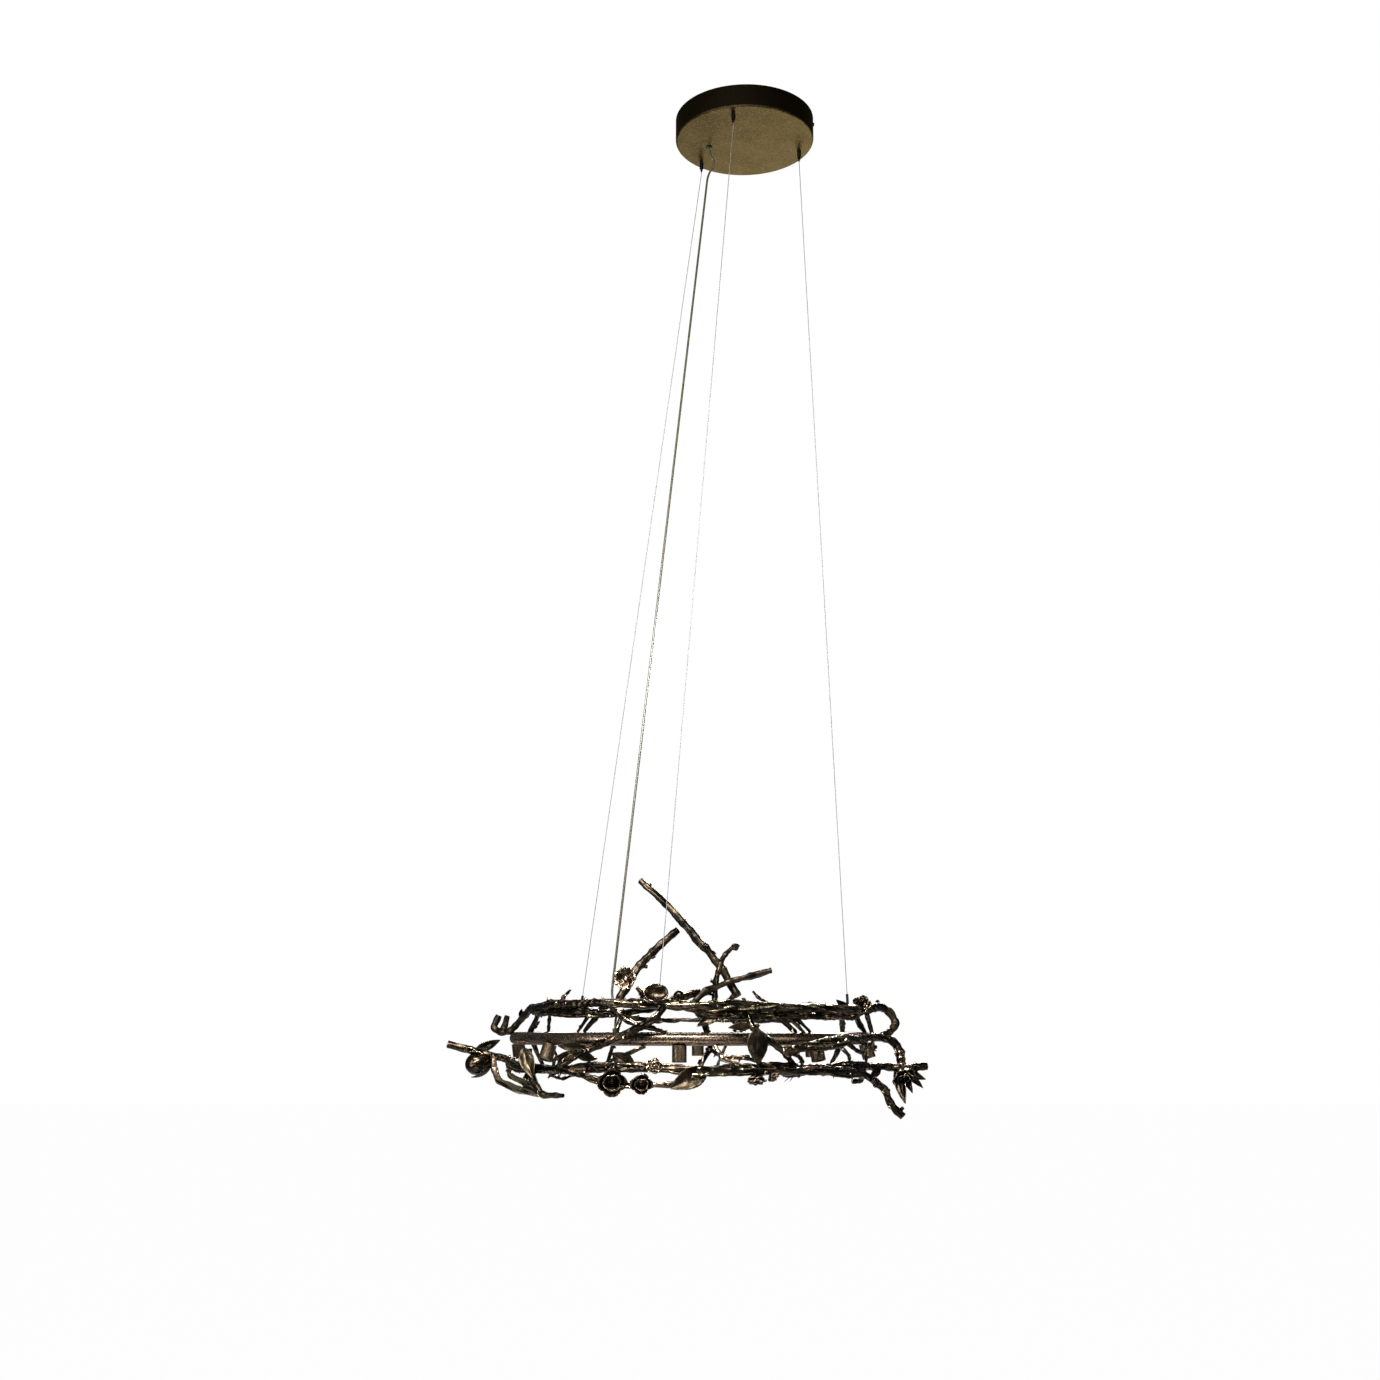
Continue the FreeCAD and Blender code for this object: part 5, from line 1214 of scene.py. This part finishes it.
def makeSepal(bud, number):
    sepal = makeGrid(sepalShape)
    for corner in sepal.data.vertices:
        share = (corner.co.x + 1) / 2
        side = corner.co.y
        climb = math.radians(bud["hug"]) * share
        outline = math.sin(math.pi * (0.2 + 0.8 * share) ** 0.8) ** 0.8 if share < 0.999 else 0.03
        sway = sepalShape["sway"] * math.sin(share * 3)
        turn = (2 * math.pi * (number + sway) / bud["sepals"]
                + side * sepalShape["spread"] * outline)
        flare = 1.05 + 0.22 * share ** 3 + 0.05 * (1 - abs(side))
        reach = bud["across"] / 2 * mm * flare * math.sin(climb)
        corner.co = (reach * math.cos(turn), reach * math.sin(turn),
                     -bud["tall"] / 2 * mm * flare * math.cos(climb))
    applyModifier(sepal, "SOLIDIFY", thickness=sepalShape["wall"] * mm, offset=0)
    return sepal


def makeBud(name, bud):
    turnUp = Vector(bud["axis"]).normalized().to_track_quat("Z", "Y")
    parts = [makePod(name, bud, turnUp)]
    parts += [makeSepal(bud, number) for number in range(bud["sepals"])]
    piece = joinPieces(parts, name)
    piece.data.transform(Matrix.Translation(bud["centre"]) @ turnUp.to_matrix().to_4x4())
    castSkin(piece, *podShape["skin"])
    finishPiece(piece, "budBronze", "buds")


for budName, bud in budPlan.items():
    makeBud(budName, bud)
bpy.data.objects.remove(barkSection)
print("buds are made")

# small curled scales sit all over the twigs: foot inside the twig, tip lifted off it
scalePlan = {"count": 60, "length": (9, 19), "width": (6, 11), "lift": (0.25, 0.8),
             "sunk": 0.6, "seed": 71}
scaleShape = {**leafShape, "rows": 9, "columns": 6, "length": 1 / mm, "width": 1 / mm,
              "wall": 90, "vein": 0, "curl": 0.2, "toothCount": 3}


def makeScales():
    draw = random.Random(scalePlan["seed"])
    scale = makeBlade("scale", scaleShape)
    hosts = [name for name in twigSkins if len(twigSkins[name]) > 30]
    parts = []
    while len(parts) < scalePlan["count"]:
        skin = twigSkins[draw.choice(hosts)]
        index = draw.randrange(4, len(skin) - 5)
        foot, radius, _ = skin[index]
        forward = (skin[index + 2][0] - skin[index - 2][0]).normalized() * draw.choice((-1, 1))
        side = forward.orthogonal().normalized()
        turn = draw.uniform(0, 2 * math.pi)
        outward = side * math.cos(turn) + forward.cross(side) * math.sin(turn)
        heading = (forward + outward * draw.uniform(*scalePlan["lift"])).normalized()
        length = draw.uniform(*scalePlan["length"]) * mm
        width = draw.uniform(*scalePlan["width"]) * mm
        foot = foot + outward * radius * scalePlan["sunk"]
        if nearSpot(foot + heading * length):
            continue
        over = (outward - heading * outward.dot(heading)).normalized()
        across = over.cross(heading)
        copied = copyPiece(scale)
        for corner in copied.data.vertices:
            corner.co = (foot + heading * corner.co.x * length + across * corner.co.y * width
                         + over * corner.co.z * width * 0.6)
        parts.append(copied)
    bpy.data.objects.remove(scale)
    piece = joinPieces(parts, "twigScales")
    mendFaces(piece)
    shadeSmooth(piece)
    finishPiece(piece, "leafBronze")


makeScales()
print("scales are made")

# floor, sky and soft studio light: the sky is white to the eye and dim to the metal
studio = {
    "floorDrop": 1.45, "floorSize": 60, "seenSky": 1.0, "feltSky": 0.07, "floorLift": 0.985,
    "lamps": {
        "topLamp": ((-0.5, -1.3, -0.55), (1.4, 0.3), 104),
        "leftLamp": ((-2.3, -1.6, -1.7), (0.25, 1.6), 26),
        "rightLamp": ((2.2, -1.5, -1.5), (0.25, 1.4), 12),
        "lowLamp": ((-0.5, -1.9, -3.1), (0.9, 0.2), 11),
        "backLamp": ((0.4, 2.1, -0.8), (1.4, 0.4), 46),
        "frontLamp": ((0.6, -3.6, -1.3), (0.4, 0.4), 16),
    },
}


def setFloor():
    clearSelection()
    floorHeight = ringCentre.z - studio["floorDrop"]
    bpy.ops.mesh.primitive_plane_add(size=studio["floorSize"], location=(0, 0, floorHeight))
    floor = bpy.context.object
    floor.name = "studioFloor"
    material, tree, shader, _ = newMaterial("studioPale")
    shader.inputs["Base Color"].default_value = (0.92, 0.92, 0.92, 1)
    shader.inputs["Roughness"].default_value = 0.9
    glow = addNode(tree, "ShaderNodeEmission")
    blend = addNode(tree, "ShaderNodeMixShader")
    ray = addNode(tree, "ShaderNodeLightPath").outputs["Is Camera Ray"]
    seen = addScaled(tree, ray, studio["floorLift"])
    surface = next(n for n in tree.nodes if n.type == "OUTPUT_MATERIAL").inputs["Surface"]
    tree.links.new(seen, blend.inputs["Fac"])
    tree.links.new(shader.outputs["BSDF"], blend.inputs[1])
    tree.links.new(glow.outputs["Emission"], blend.inputs[2])
    tree.links.new(blend.outputs["Shader"], surface)
    floor.data.materials.append(material)


def setSky():
    world = bpy.data.worlds.new("studioSky")
    world.use_nodes = True
    tree = world.node_tree
    background = next(n for n in tree.nodes if n.type == "BACKGROUND")
    background.inputs["Color"].default_value = (1, 1, 1, 1)
    seen = addNode(tree, "ShaderNodeLightPath").outputs["Is Camera Ray"]
    reach = addScaled(tree, seen, studio["seenSky"] - studio["feltSky"])
    strength = addMath(tree, "ADD", reach, studio["feltSky"])
    tree.links.new(strength, background.inputs["Strength"])
    scene.world = world
    scene.view_settings.view_transform = "Standard"


def setLamps():
    for name, (place, (width, height), power) in studio["lamps"].items():
        clearSelection()
        bpy.ops.object.light_add(type="AREA", location=place)
        lamp = bpy.context.object
        lamp.name = name
        lamp.data.shape = "RECTANGLE"
        lamp.data.size = width
        lamp.data.size_y = height
        lamp.data.energy = power
        aim = ringCentre - Vector(place)
        lamp.rotation_euler = aim.to_track_quat("-Z", "Y").to_euler()


setFloor()
setSky()
setLamps()
print("studio is set")
